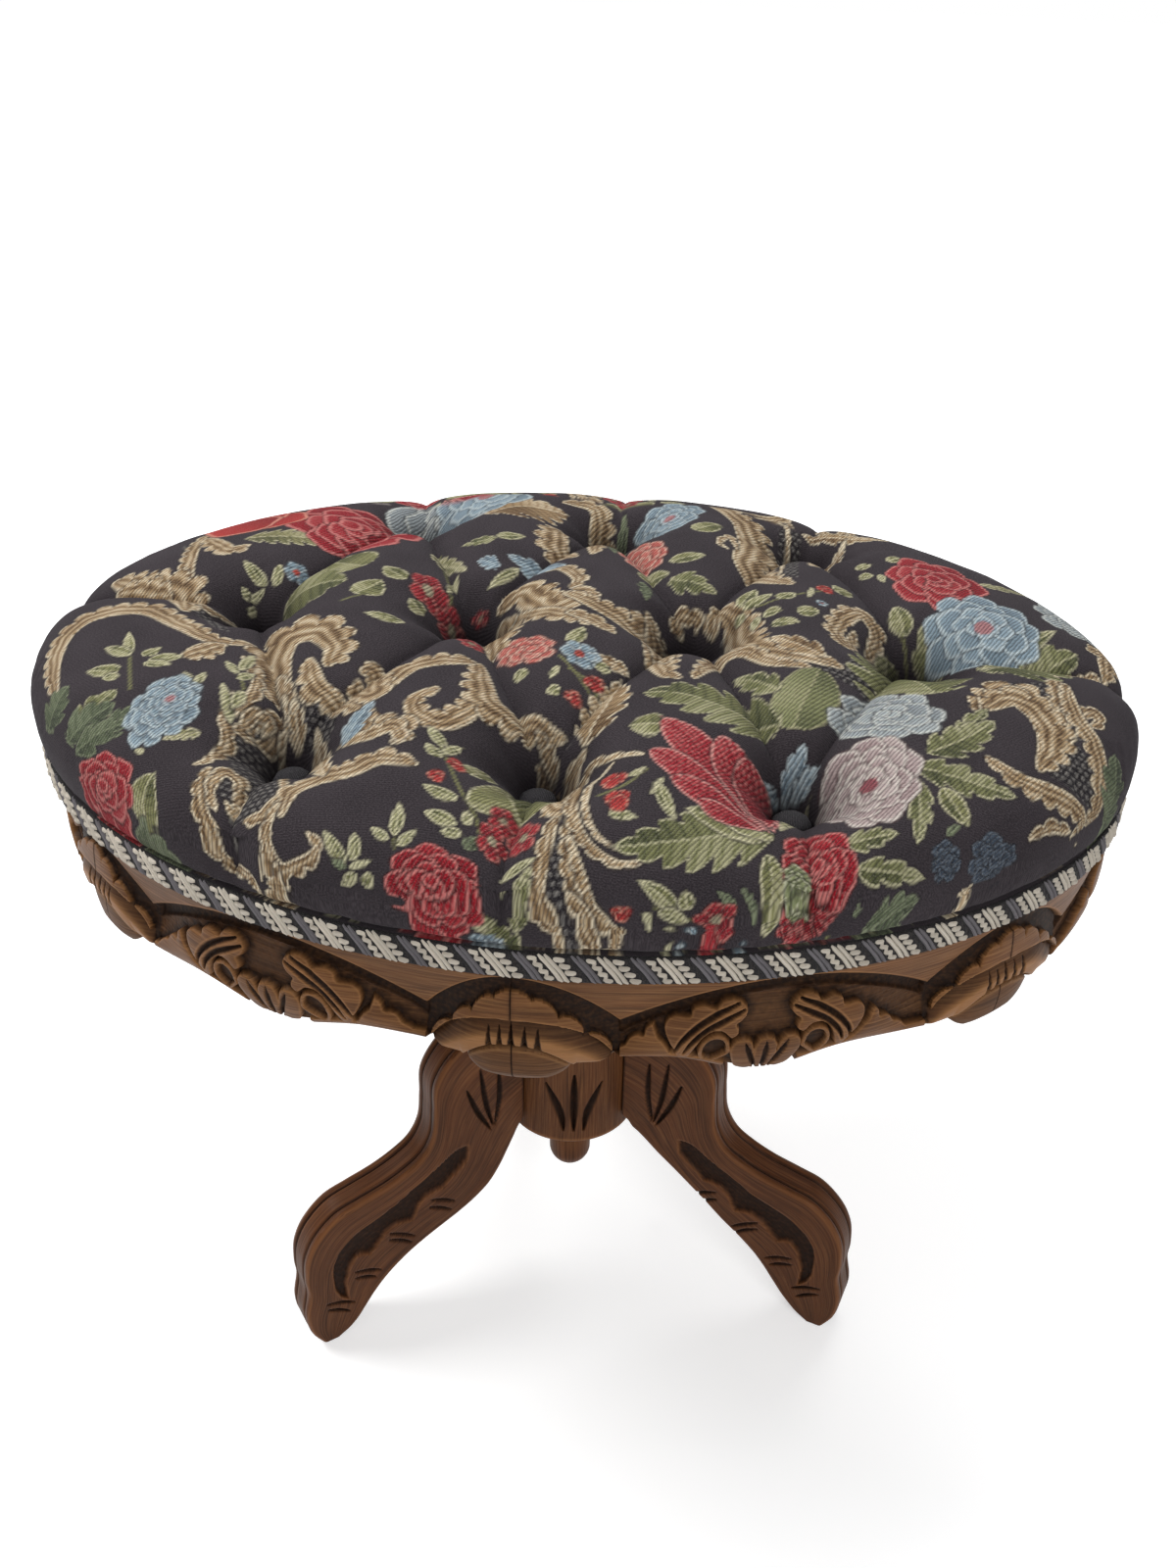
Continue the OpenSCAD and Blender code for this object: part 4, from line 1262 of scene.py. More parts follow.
def flat_cloth(points):
    """The cloth's place before it was laid over the crown, in millimetres from its middle."""
    s = np.linspace(0, 1, 2001)
    r = 250 * s
    z = WIDEST_Z + (CREST - WIDEST_Z) * (1 - s ** CROWN_POWER) ** (1 / CROWN_POWER)
    along = np.r_[0, np.cumsum(np.hypot(np.diff(r), np.diff(z)))]
    share = np.hypot(points[:, 0] / (HALF_L + BULGE), points[:, 1] / (HALF_W + BULGE))
    hang = np.where(share > 0.97, np.clip(WIDEST_Z - points[:, 2], 0, None), 0)
    reach = np.interp(share, s, along) + hang
    return points[:, :2] * (reach / np.maximum(250 * np.clip(share, 0, 1), 1e-6))[:, None]


def weave_tapestry(obj, points):
    """Colours the cloth point by point. Behind the crest the motifs come again, turned round."""
    flat = flat_cloth(points)
    needle = Needle(flat, colours().ground)
    turned = Needle(-flat, colours().ground)
    for path in STEMS:
        needle.stem(path)
    for outline in BEADS:
        needle.beads(outline)
    for half in (needle, turned):
        for work, motifs in ((half.scroll, SCROLLS), (half.leaf, LEAVES), (half.flower, FLOWERS)):
            for motif in motifs:
                work(*motif)
    far = step(*FAR_SIDE, flat[:, 1] + 0.0006 * flat[:, 0] ** 2)
    tone = needle.tone + (turned.tone - needle.tone) * far[:, None]
    worked = needle.worked + (turned.worked - needle.worked) * far
    attribute(obj, "tapestry", np.c_[tone, np.ones(len(points))], "FLOAT_COLOR")
    attribute(obj, "worked", worked)
    # Painted shade: how deep each point lies in the pits and pleats, which darkens the cloth.
    attribute(obj, "hollow", np.clip(relief(points) / PIT_SHADE_DEPTH, 0, 1))
    corner_map(obj, "weave", flat * MM)


class POUF_OT_buttons(bpy.types.Operator):
    """Models one covered button and copies it into each tuft"""

    bl_idname = "pouf.buttons"
    bl_label = "Buttons"

    def execute(self, context):
        deselect()
        bpy.ops.mesh.primitive_uv_sphere_add(segments=40, ring_count=20, radius=1.0)
        first = take("button_pattern")
        p = points_of(first) * MM
        r = BUTTON_HIGH[0] - max(x for x, y in TUFTS)
        t = BUTTON_HIGH[2] - BUTTON_LOW[2]
        x, y, z = p.T
        fold = 1 + 0.03 * np.cos(9 * np.arctan2(y, x)) * step(0.55, 0.95, np.hypot(x, y))
        z = np.where(z > 0, 0.30 + 0.70 * z, 0.30 + 0.30 * np.sign(z) * np.abs(z) ** 0.5)
        shape = np.c_[x * r * fold, y * r * fold, z * t]
        joined = []
        for x, y in TUFTS:
            copy = add_object(first.name, first.data.copy())
            set_points(copy, shape + np.array([x, y, BUTTON_LOW[2]]))
            joined.append(copy)
        bpy.data.objects.remove(first)
        deselect()
        for copy in joined:
            copy.select_set(True)
        bpy.context.view_layer.objects.active = joined[0]
        bpy.ops.object.join()
        obj = take("covered_buttons_cloth")
        smooth(obj)
        settle(obj, button_material(), "button_cloth", "covered_buttons")
        return {"FINISHED"}


# Braid

# Steps of the tape round the oval, and how far inside the braid's outer line its cords are laid
TAPE_STEPS = 360
CORDS_IN = 1.7


def cord_points(path, radius, rings=8, sides=6):
    """A cord along a path of (along, height) points, lying on the tape: its points, faces and
    twist map."""
    line = chain(path, rings)
    way = np.gradient(line, axis=0)
    way /= np.linalg.norm(way, axis=1, keepdims=True)
    side = np.stack([-way[:, 1], way[:, 0]], -1)
    taper = np.clip(np.minimum(np.arange(rings), np.arange(rings)[::-1]) / 1.0, 0.55, 1)
    angle = 2 * math.pi * np.arange(sides) / sides
    across = np.cos(angle)[None, :, None] * side[:, None, :] * (radius * taper)[:, None, None]
    flat = line[:, None, :] + across
    out = (0.72 + 0.85 * np.sin(angle))[None, :] * (radius * taper)[:, None]
    points = np.concatenate([flat, out[..., None]], -1).reshape(-1, 3)
    along = np.r_[0, np.cumsum(np.linalg.norm(np.diff(line, axis=0), axis=1))]
    u = np.repeat(along / 0.9, sides)
    v = np.tile(np.abs(((np.arange(sides) / sides * 2 + 1) % 2) - 1) * 1.6, rings)
    return points, tube_faces(rings, sides), np.c_[u, v]


def braid_repeat(length, width):
    """Cords and stitches of one repeat: points (along, height, out), faces, map and yarn colour."""
    c = colours()
    cream, grey, black = (np.array(tuple(v)) for v in (c.cream, c.grey, c.black))
    lean = 11.0
    pieces = []

    def rope(x, radius, yarn):
        pieces.append(([(x, width - 0.2), (x + 0.18 * lean, width * 0.84),
                        (x + 0.66 * lean, width * 0.38), (x + 0.92 * lean, 0.9),
                        (x + lean, 0.5)], radius, yarn, 9))

    def stitches(start, radius, reach):
        ends = []
        for k, z in enumerate((12.7, 9.2, 5.7, 2.3)):
            x = start + lean * (1 - z / width)
            pieces.append(([(x, z + 0.3), (x + reach / 2, z), (x + reach, z - 0.35)], radius,
                           cream * (1.0, 0.88, 0.96, 0.84)[k], 5))
            ends.append((x, z))
        return ends

    rope(0.0, 1.04, cream)
    rope(2.8, 1.04, cream * 0.92)
    stitches(5.0, 1.36, 5.0)
    rope(length / 2 - 0.1, 0.60, black)
    rope(length / 2 + 1.6, 0.95, grey)
    rope(length / 2 + 4.1, 0.95, grey * 0.85)
    for x, z in stitches(length / 2 + 6.4, 1.20, 4.3)[:3]:
        pieces.append(([(x + 4.2, z - 0.5), (x + 3.6, z - 1.7), (x + 2.9, z - 2.9)],
                       0.85, cream * 0.9, 4))
    points, faces, maps, tones = [], [], [], []
    count = 0
    for path, radius, yarn, rings in pieces:
        p, f, m = cord_points(path, radius, rings)
        points.append(p)
        faces += [[i + count for i in face] for face in f]
        maps.append(m)
        tones.append(np.tile(yarn, (len(p), 1)))
        count += len(p)
    return np.vstack(points), faces, np.vstack(maps), np.vstack(tones)


class POUF_OT_braid(bpy.types.Operator):
    """Models the braid's tape and one repeat of its cords, and lays the repeats round the seat"""

    bl_idname = "pouf.braid"
    bl_label = "Braid"

    def execute(self, context):
        width = BRAID_HIGH[2] - BRAID_LOW[2]
        repeats = sizes().braid_repeats
        whole = OVAL_S[-1]
        length = whole / repeats
        one, one_faces, one_map, one_tone = braid_repeat(length, width)
        points, faces, maps, tones = [], [], [], []
        for k in range(repeats):
            along = (one[:, 0] + k * length) % whole
            angle = np.interp(along, OVAL_S, OVAL_T)
            slack = 0.12 * noise(np.c_[one[:, 0] + k * length, one[:, 1]], 6, 5)
            place = oval(angle, CORDS_IN) + oval_out(angle) * (one[:, 2] + slack)[:, None]
            wander = 0.25 * np.sin(one[:, 0] + 2.1 * k) * 0.4
            points.append(np.c_[place, BRAID_LOW[2] + one[:, 1] + wander])
            faces += [[i + k * len(one) for i in face] for face in one_faces]
            maps.append(one_map)
            shade = 1 + 0.14 * (scatter(np.array([[k, 3]]), 9)[0] - 0.5)
            tones.append(one_tone * shade)
        count = repeats * len(one)
        angle = np.linspace(0, 2 * math.pi, TAPE_STEPS + 1)[:-1]
        ring = [(1.7, 0.0), (1.2, 0.4), (1.0, 0.9), (1.0, width - 0.9), (1.2, width - 0.4),
                (1.7, width), (2.4, width), (2.4, 0.0)]
        sides = len(ring)
        tape = np.stack([np.c_[oval(angle, inset), np.full(TAPE_STEPS, BRAID_LOW[2] + z)]
                         for inset, z in ring], 1)
        points.append(tape.reshape(-1, 3))
        here = np.arange(TAPE_STEPS)[:, None] * sides
        ahead = np.roll(here, -1, 0)
        low = np.arange(sides)[None, :]
        high = np.roll(low, -1, 1)
        quads = np.stack([here + low, ahead + low, ahead + high, here + high], -1).reshape(-1, 4)
        faces += (quads + count).tolist()
        maps.append(np.c_[np.repeat(angle * 60, sides),
                          np.tile(np.arange(sides) * 0.5, TAPE_STEPS)])
        tones.append(np.tile(np.array(tuple(colours().black)) * 1.1, (TAPE_STEPS * sides, 1)))
        obj = mesh_piece("braid", np.vstack(points), faces)
        tones = np.vstack(tones)
        attribute(obj, "yarn", np.c_[tones, np.ones(len(tones))], "FLOAT_COLOR")
        corner_map(obj, "twist", np.vstack(maps))
        face_out(obj)
        smooth(obj, 50)
        settle(obj, yarn_material(), "braid", "braid_trim")
        return {"FINISHED"}


# Carved apron

APRON_TOP = BRAID_LOW[2]
FAN_HALF = 49.0
APRON_BACK = 27.0
LIP_IN = 8.0
EDGE = OVAL_S[-1]
FRONT = np.interp(math.pi * 1.5, OVAL_T, OVAL_S)


def side_joint():
    """Length of the edge from the joint at the front to the next one, from the inner end of a
    packed segment."""
    low = cad("apron_segment_2")[0]
    angle = 2 * math.pi - math.acos(low[0] / (HALF_L - APRON_BACK))
    return float(np.interp(angle, OVAL_T, OVAL_S) - FRONT)


SIDE_JOINT = side_joint()
JOINTS = [0, SIDE_JOINT, EDGE / 2 - SIDE_JOINT, EDGE / 2, EDGE / 2 + SIDE_JOINT,
          EDGE - SIDE_JOINT, EDGE]

# The segments as carved by hand: widths of the half fans at both ends, how far the shell sits off
# the middle, heights of the lower edge at both valleys, width of the belly, and how deep the
# valleys are cut back
LAYOUT = [
    (50.0, 44.0, -9.5, 340.5, 334.5, 30.0, 1.0), (52.0, 49.0, 0.0, 334.5, 337.0, 26.0, 0.45),
    (49.0, 48.0, 3.0, 337.0, 337.5, 26.0, 0.8), (48.0, 49.0, -3.0, 337.5, 337.0, 26.0, 0.8),
    (49.0, 50.0, 0.0, 337.0, 334.5, 26.0, 0.45), (41.0, 41.5, 1.0, 334.5, 340.5, 34.0, 1.0),
]
LEAF_HALF = 79.0
VALLEY_Z, APEX_Z = 361.0, 387.0
FAN_LOW_Z = 332.5
JOINT_GAP = 0.18

LEAF_OUTLINE = [
    (43.3, 345), (46.3, 351), (48.8, 358), (48, 363.5), (44.5, 366.5), (39.5, 366.5), (37, 367.2),
    (36, 371), (31.5, 373), (26.5, 371.6), (25, 371.8), (22.5, 375.2), (17.5, 376.5), (13, 374.8),
    (10.7, 371.5), (10.8, 368), (12.6, 365), (15.3, 362.4), (14.2, 359.8), (14.4, 356.6),
    (17.5, 354.6), (21.5, 358.4), (25.5, 359), (29, 356.6), (31.8, 353), (34.5, 347), (37, 340),
    (43, 338),
]
OUTER_LEAF = [
    (50, 364.6), (53.5, 361.5), (57.2, 358), (58.6, 353.5), (61.5, 353.6), (65, 351.6), (67.2, 348),
    (70.5, 346.5), (74.5, 343), (75, 338), (44, 338), (46, 345), (49, 350.5), (52.5, 354.5),
    (52.8, 359),
]
VEINS = [
    ([(15, 374.2), (25.2, 368.4), (34.1, 361), (40.8, 352.2), (43.6, 344)], 2.0),
    ([(12.2, 370.6), (21.2, 365.2), (29.2, 359.6), (36, 351.6), (39.4, 344)], 2.0),
]
SHELL_LOBES = [
    [(-5.6, 330), (-5.8, 348), (-3.8, 352.4), (0, 354), (3.8, 352.4), (5.8, 348), (5.6, 330)],
    [(4.4, 330), (6.2, 348.2), (8.6, 352.4), (12, 353.6), (15.6, 351.8), (17.4, 347.5),
     (16.6, 341), (12.5, 331)],
]
HOLLOW = [
    (20.5, 340), (19.6, 346), (20.6, 351.8), (24, 354.2), (28, 352.4), (30, 348), (30, 342.5),
    (27.5, 338), (23.5, 337),
]


def panel_place(share, length, start, end):
    """For places along a segment: whether they lie in a fan panel, and where on the drawn panel."""
    fan = (share * length < start) | ((1 - share) * length < end)
    x_fan = np.where(share < 0.5, share * FAN_HALF / start, (share - 1) * FAN_HALF / end) * length
    half = (length - start - end) / 2
    x_leaf = (share * length - start - half) * LEAF_HALF / half
    return fan, x_fan, x_leaf


def face_lines(fan, x_fan, x_leaf, number):
    """Heights and insets of the apron's face at places along a segment."""
    centre, first_low, last_low, wide, cut_back = LAYOUT[number][2:]
    q = np.clip(np.abs(np.where(fan, x_fan / FAN_HALF, x_leaf / LEAF_HALF)), 0, 1)
    arch = 1 - q ** 2
    valley = (0.5 + 0.5 * np.cos(math.pi * arch)) * cut_back
    line_z = VALLEY_Z + (APEX_Z - VALLEY_Z) * arch
    base = first_low + (last_low - first_low) * np.clip(0.5 + x_leaf / LEAF_HALF / 2, 0, 1)
    tongue = 7.5 * np.sqrt(np.clip(1 - (x_fan / 29) ** 2, 0, 1))
    fan_low = base + (FAN_LOW_Z - base) * arch ** 0.6 - tongue
    leaf_low = base + arch ** 0.5 - 11.0 * bell(x_leaf - centre, wide)
    low_z = np.where(fan, fan_low, leaf_low)
    line_in = 5 + 6 * (1 - arch) * cut_back
    belly = 3 + 7 * valley
    roll = 4 + 4 * valley
    return line_z, low_z, line_in, belly, roll


def through(w, knots, values):
    """A smooth curve through values at the knots; values change from column to column."""
    values = [np.asarray(v, float) for v in values]
    slopes = []
    for k in range(len(knots)):
        a, b = max(k - 1, 0), min(k + 1, len(knots) - 1)
        slopes.append((values[b] - values[a]) / (knots[b] - knots[a]))
    out = np.zeros(np.broadcast(w, *values).shape)
    for k in range(len(knots) - 1):
        h = knots[k + 1] - knots[k]
        t = (w - knots[k]) / h
        inside = (t >= 0) & (t <= 1)
        t = np.clip(t, 0, 1)
        piece = ((2 * t ** 3 - 3 * t ** 2 + 1) * values[k]
                 + (t ** 3 - 2 * t ** 2 + t) * h * slopes[k]
                 + (-2 * t ** 3 + 3 * t ** 2) * values[k + 1]
                 + (t ** 3 - t ** 2) * h * slopes[k + 1])
        out = np.where(inside, piece, out)
    return out


def moulding(x, z, line_z, half):
    """The cove that follows the panel's upper line: its depth, how dark it is painted, partly as
    stained wood and partly as painted shade, and the distance below the line."""
    slope = 2 * (APEX_Z - VALLEY_Z) * x / half ** 2
    below = (line_z - z) / np.sqrt(1 + slope ** 2)
    inside = step(-0.2, 0.7, below)
    depth = inside * (2.4 + 1.4 * np.sin(np.clip(below / 7.5, 0, 1) * math.pi))
    return depth, inside, below


def carve_fan(x, z, line_z, deep):
    """Depth of a fan panel, how dark it is (stained grounds and cuts, partly painted shade) and how
    light its edges are (wear and painted highlights).
    """
    depth, dark, below = moulding(x, z, line_z, FAN_HALF)
    ax = np.abs(x)
    edges = [0, 8.8, 21, 33, 46]
    peaks = [380.0, 375.0, 366.5, 355.0]
    top = np.full(x.shape, -1e3)
    for k in range(4):
        a, b = (-edges[1] if k == 0 else edges[k]), edges[k + 1]
        middle, half = (a + b) / 2, (b - a) / 2
        t = np.clip((ax - middle) / half, -1, 1)
        lobe = peaks[k] - (0.55 * (ax - middle) if k else 0) - 5.0 * (1 - np.sqrt(1 - t ** 2))
        top = np.where((ax >= max(a, 0)) & (ax <= b), lobe, top)
    leaf = (z - top) * 0.8
    ground = step(-0.4, 0.8, leaf) * (below > 0)
    crest_z = 363.5 - 19.0 * (ax / 46) ** 3.2
    bulge_z = 352.5 - 18.0 * np.clip((ax - 12) / 32, 0, 1.2) ** 1.6
    t = np.clip((crest_z - z) / np.maximum(crest_z - bulge_z, 1), 0, 1)
    in_cove = (z < crest_z) & (ax < 46.5)
    cove = 4.4 * (1 - t) ** 1.2 * step(0.0, 0.05, t)
    body = 0.7 * np.exp(-np.clip(-leaf, 0, None) / 1.4)
    off = leaf > -0.4
    depth = np.where(off, np.maximum(depth, deep * 0.8 * ground), np.where(in_cove, cove, body))
    # Grounds, cuts and the cove are painted dark, the cove darkest deep under its crest: partly
    # stained wood, partly painted shade.
    dark = np.where(off, np.maximum(dark, ground * 0.95),
                    np.where(in_cove, 0.80 * (1 - t) ** 0.6, 0.0))
    # The cove's crest and the leaves' edges are lightened: partly wear, partly painted highlight.
    wear_and_highlight = np.where(in_cove, step(0.60, 1.0, t) * 0.8,
                   (leaf < 0.3) * np.exp(-np.clip(-leaf, 0, None) / 0.9) * 0.7)
    wear_and_highlight = np.maximum(wear_and_highlight, bell(z - crest_z, 0.8) * (ax < 46) * 0.9)
    for k in range(-2, 3):
        share = np.clip((z - 347) / 12, 0, 1)
        width = 1.9 * (1 - share) ** 0.7
        gap = np.abs(x - 6.0 * k)
        here = (z > 346.2) & (z < 359)
        depth = depth + here * cut(gap, width, 3.2 * (1 - share * 0.6))
        dark = np.where(here, np.maximum(dark, 1 - step(width * 0.75, width * 1.15, gap)), dark)
    slit_z = 347.5 - 16.5 * (ax / 31) ** 2.6
    drop = slit_z - z
    near = ax < 30.5
    slit = near * bell(drop - 1.3, 1.5)
    depth = depth + 4.0 * slit
    lip = near & (drop > 2.9)
    depth = np.where(lip, np.clip(1.6 - 0.25 * (drop - 2.9), -2.0, 3), depth)
    dark = np.where(lip, 0.38, dark)
    dark = np.maximum(dark, slit)
    # A light band along the middle of the lip's face: painted highlight.
    wear_and_highlight = np.where(lip, 0.9 * bell(drop - 4.0, 0.9), wear_and_highlight)
    under = (~near) & (z < bulge_z)
    wear_and_highlight = np.where(under, np.maximum(wear_and_highlight, 0.3), wear_and_highlight)
    return depth, dark, wear_and_highlight


def carve_leaf(x, z, line_z, low_z, deep, centre):
    """Depth of a leaf panel whose leaves spread from a centre, how dark it is (stained ground and
    cuts, partly painted shade) and how light its edges are (wear and painted highlights).
    """
    depth, dark, below = moulding(x, z, line_z, LEAF_HALF)
    ax = np.abs(x - centre)
    leaf = to_shape(ax, z, closed_chain(LEAF_OUTLINE, 240))
    outer = to_shape(ax, z, closed_chain(OUTER_LEAF, 160))
    band = np.where(ax > 18.5, (z - (low_z + 4.0 + 1.2 * step(46, 74, ax))) * 0.9, 1e3)
    shell = np.minimum(to_shape(ax, z, SHELL_LOBES[0]),
                       to_shape(ax, z, closed_chain(SHELL_LOBES[1], 80)))
    raised = np.minimum(np.minimum(leaf, outer), np.minimum(band, shell))
    hollow = to_shape(ax, z, closed_chain(HOLLOW, 70))
    raised = np.minimum(raised, np.abs(hollow - 1.1) - 1.1)
    ground = step(-0.4, 0.6, raised)
    punched = noise(np.stack([x, z], -1), 1.5, 21)
    edge = np.clip(-raised, 0, None)
    under = below > 0
    body = (1 - ground) * 0.8 * np.exp(-edge / 1.4)
    depth = np.where(under, ground * (deep + 0.35 * punched) + body, 0.0)
    cove = under * np.clip(1 - ((below - 3.7) / 3.7) ** 2, 0, 1) ** 0.6
    rim = 0.9 * under * ground * bell(below - 7.9, 0.6)
    depth = np.maximum(depth, under * ground * deep + cove * 1.6) - rim
    # The ground is darkest close to the raised leaves and lighter in the open below the cove:
    # painted shade near the walls, on top of the stained ground.
    open_share = step(0.5, 6.0, raised) * step(6.5, 9.0, below)
    dark = np.where(below > -0.2, ground * (0.97 - 0.36 * open_share + 0.05 * punched), 0.0)
    # The leaves' edges are lightened: partly wear, partly painted highlight.
    wear_and_highlight = 0.6 * (1 - ground) * bell(edge - 0.45, 0.55) * under
    for path, widest in VEINS:
        gap, share = to_line(ax, z, chain(path, 28))
        width = widest * np.sin(math.pi * np.clip(share * 0.80 + 0.14, 0, 1)) ** 0.8
        inside = leaf < 0
        depth = depth + inside * cut(gap, width, 2.6)
        dark = np.where(inside, np.maximum(dark, 1.0 - step(width * 0.55, width, gap)), dark)
        wear_and_highlight = np.maximum(wear_and_highlight, inside * 0.7 * bell(gap - width - 0.4, 0.5))
    for foot, lean in ((0.0, 0.0), (5.0, 0.36)):
        gap = np.abs(ax - foot - (z - 336) * lean)
        width = 1.7 * np.clip((352 - z) / 6, 0, 1) * np.clip((z - 326) / 12, 0.2, 1)
        inside = (shell < -0.3) & (z < 352)
        depth = depth + inside * cut(gap, np.maximum(width, 0.05), 2.2)
        dark = np.where(inside, np.maximum(dark, 1 - step(width * 0.6, width + 0.1, gap)), dark)
    inner = (hollow < 0.0) & (band > 0)
    depth = np.where(inner, deep * 0.8, depth)
    dark = np.where(inner, 0.92, dark)
    return depth, dark, wear_and_highlight


class POUF_OT_apron(bpy.types.Operator):
    """Models the six carved segments of the apron"""

    bl_idname = "pouf.apron"
    bl_label = "Apron"

    columns = 480
    field_rows = 30
    face_rows = 88

    def execute(self, context):
        deep = sizes().carving / MM
        material = carved_walnut("carved_walnut")
        for number in range(6):
            self.carve(number, deep, material)
        return {"FINISHED"}

    def carve(self, number, deep, material):
        """One segment: its face, carved, and its plain back."""
        length = JOINTS[number + 1] - JOINTS[number]
        share = np.linspace(0, 1, self.columns)
        start, end, centre = LAYOUT[number][:3]
        fan, x_fan, x_leaf = panel_place(share, length, start, end)
        line_z, low_z, line_in, belly, roll = face_lines(fan, x_fan, x_leaf, number)
        field = np.linspace(0, 1, self.field_rows, endpoint=False)[:, None]
        z_field = APRON_TOP + (line_z - APRON_TOP)[None, :] * field
        in_field = 4 + (line_in - 4)[None, :] * field
        w = np.linspace(1, 0, self.face_rows)[:, None]
        z_face = low_z[None, :] + (line_z - low_z)[None, :] * w
        in_face = through(w, [0.0, 0.07, 0.28, 0.58, 1.0],
                          [LIP_IN + 3, LIP_IN, roll, belly, line_in])
        z = np.vstack([z_field, z_face])
        inset = np.vstack([in_field, in_face])
        x_fan, x_leaf, lines, lows, fan, grid = (
            np.broadcast_to(v, z.shape) for v in (x_fan, x_leaf, line_z, low_z, fan, share))
        back = [(LIP_IN + 6, low_z), (APRON_BACK - 1, low_z + 0.3), (APRON_BACK, low_z + 1.5),
                (APRON_BACK, 365.0), (APRON_BACK, APRON_TOP - 0.5), (APRON_BACK - 1, APRON_TOP),
                (14.0, APRON_TOP)]
        of_fan = carve_fan(x_fan, z, lines, deep)
        of_leaf = carve_leaf(x_leaf, z, lines, lows, deep, centre)
        depth, dark, wear_and_highlight = (np.where(fan, a, b) for a, b in zip(of_fan, of_leaf))
        # A light line along the top edge of the moulding: painted highlight, partly wear. The
        # segment's ends are darkened as dark joints.
        wear_and_highlight = np.maximum(wear_and_highlight, bell(z - lines - 0.3, 0.7) * 0.8)
        dark = np.maximum(dark, 0.9 * np.exp(-np.minimum(grid, 1 - grid) * length / 0.45))
        self.add_segment(number, share, z, inset, depth, dark, wear_and_highlight, back, material)

    def add_segment(self, number, share, z, inset, depth, dark, wear_and_highlight, back, material):
        length = JOINTS[number + 1] - JOINTS[number]
        s = JOINTS[number] + JOINT_GAP + (length - 2 * JOINT_GAP) * share
        angle = np.interp(np.mod(s + FRONT, EDGE), OVAL_S, OVAL_T)

        def place(inset, z):
            t = np.broadcast_to(angle, z.shape)
            return np.concatenate([oval(t, inset), z[..., None]], -1)

        face = place(inset, z)
        du = np.gradient(face, axis=1)
        dv = np.gradient(face, axis=0)
        n = np.cross(dv, du)
        n /= np.maximum(np.linalg.norm(n, axis=-1, keepdims=True), 1e-9)
        out = oval_out(np.broadcast_to(angle, z.shape))
        n *= np.sign((n[..., :2] * out).sum(-1, keepdims=True) + 1e-9)
        face = face - n * depth[..., None]
        rows = [face]
        for inset, height in back:
            line = place(np.broadcast_to(inset, share.shape), np.broadcast_to(height, share.shape))
            rows.append(line[None])
        grid = np.concatenate(rows, 0)
        count = len(grid)
        columns = len(share)
        r = np.arange(count)[:, None]
        c = np.arange(columns - 1)[None, :]
        a = r * columns + c
        b = (r + 1) % count * columns + c
        faces = np.stack([a, a + 1, b + 1, b], -1).reshape(-1, 4).tolist()
        faces.append((np.arange(count) * columns).tolist())
        faces.append((np.arange(count)[::-1] * columns + columns - 1).tolist())
        extra = len(back) * columns
        height = np.vstack([z] + [np.full((1, columns), 320.0 - 6 * k) for k in range(len(back))])
        across = np.broadcast_to(s, height.shape)
        grain = np.stack([across * MM + 3.7 * number, height * MM + 0.61 * number], -1)
        stain_and_shade = np.r_[dark.ravel(), np.full(extra, 0.25)]
        wear_and_highlight = np.r_[wear_and_highlight.ravel(), np.zeros(extra)]
        obj = carved_piece(f"apron_carving_{number + 1}", grid, faces, stain_and_shade, wear_and_highlight, grain, 55)
        settle(obj, material, "carved_walnut", f"apron_segment_{number + 1}")


# Pedestal

COLUMN_R = COLUMN_HIGH[0]
# How much lower than in the frame the column's foot ends, and where its shaft ends under the cleat
FOOT_DROP = 3.5
SHAFT_TOP = 349.8
COLUMN_STEPS = 480
TURN = math.radians(10.6)
# Lines cut into the outer edge of a leg, as shares of its half thickness
OUTER_LINES = (-0.55, 0.50)
LEG_TURNS = [math.radians(a) + TURN for a in (208, 332, 90)]
LEG_FRONT = [
    (42, 210), (60, 209.8), (77, 205), (91, 195), (100.5, 179), (102, 158), (104, 140), (111, 127),
    (122, 119.5), (137, 113.5), (154, 109.5), (170, 105), (183.5, 93), (191, 78), (193, 61),
    (192.5, 47), (195.5, 29), (193.5, 13), (187, 0),
]
LEG_BACK = [
    (42, 125), (46, 120), (49, 114.5), (53, 110), (59, 103), (67, 95), (78, 86.5), (90, 78),
    (101, 70.5), (113, 61.5), (125, 53.5), (136, 44.5), (143.5, 36), (149, 28), (153, 21),
    (157, 14), (162, 8), (168, 3), (175, 0),
]
GROOVE_UPPER = [
    (81, 121), (90, 120.5), (102, 113), (118, 104), (134, 95), (150, 89), (162, 83), (171, 74),
    (175.5, 62), (175.5, 44),
]
GROOVE_LOWER = [
    (172.5, 36), (168, 31), (169, 46), (165, 60), (160, 66.5), (156, 66.5), (151, 63.5),
    (147.5, 67), (140, 76), (132, 79.5), (126, 78.5), (121.5, 77), (116.5, 88), (111, 93.5),
    (104, 94.5), (99, 94), (95, 99), (89, 103.5), (82, 110),
]
FAN_CUTS = [
    [(62, 130), (58.5, 152), (58.5, 176)], [(63.5, 130), (68, 152), (71, 180)],
    [(65.5, 128), (74, 147), (80.5, 167)],
]
SHORT_CUTS = [
    [(92, 77.5), (100, 83), (108, 87)], [(95, 71.5), (103, 77.5), (109, 81)],
    [(121, 62), (129, 68), (137, 73)], [(123, 57), (130, 63), (137.5, 67.5)],
    [(145, 44.5), (153, 49), (161.5, 52)], [(148.5, 40), (155, 44), (162, 46.5)],
    [(164.5, 26), (173, 31), (182, 34)], [(168, 19.5), (175, 25), (181.5, 28.5)],
]


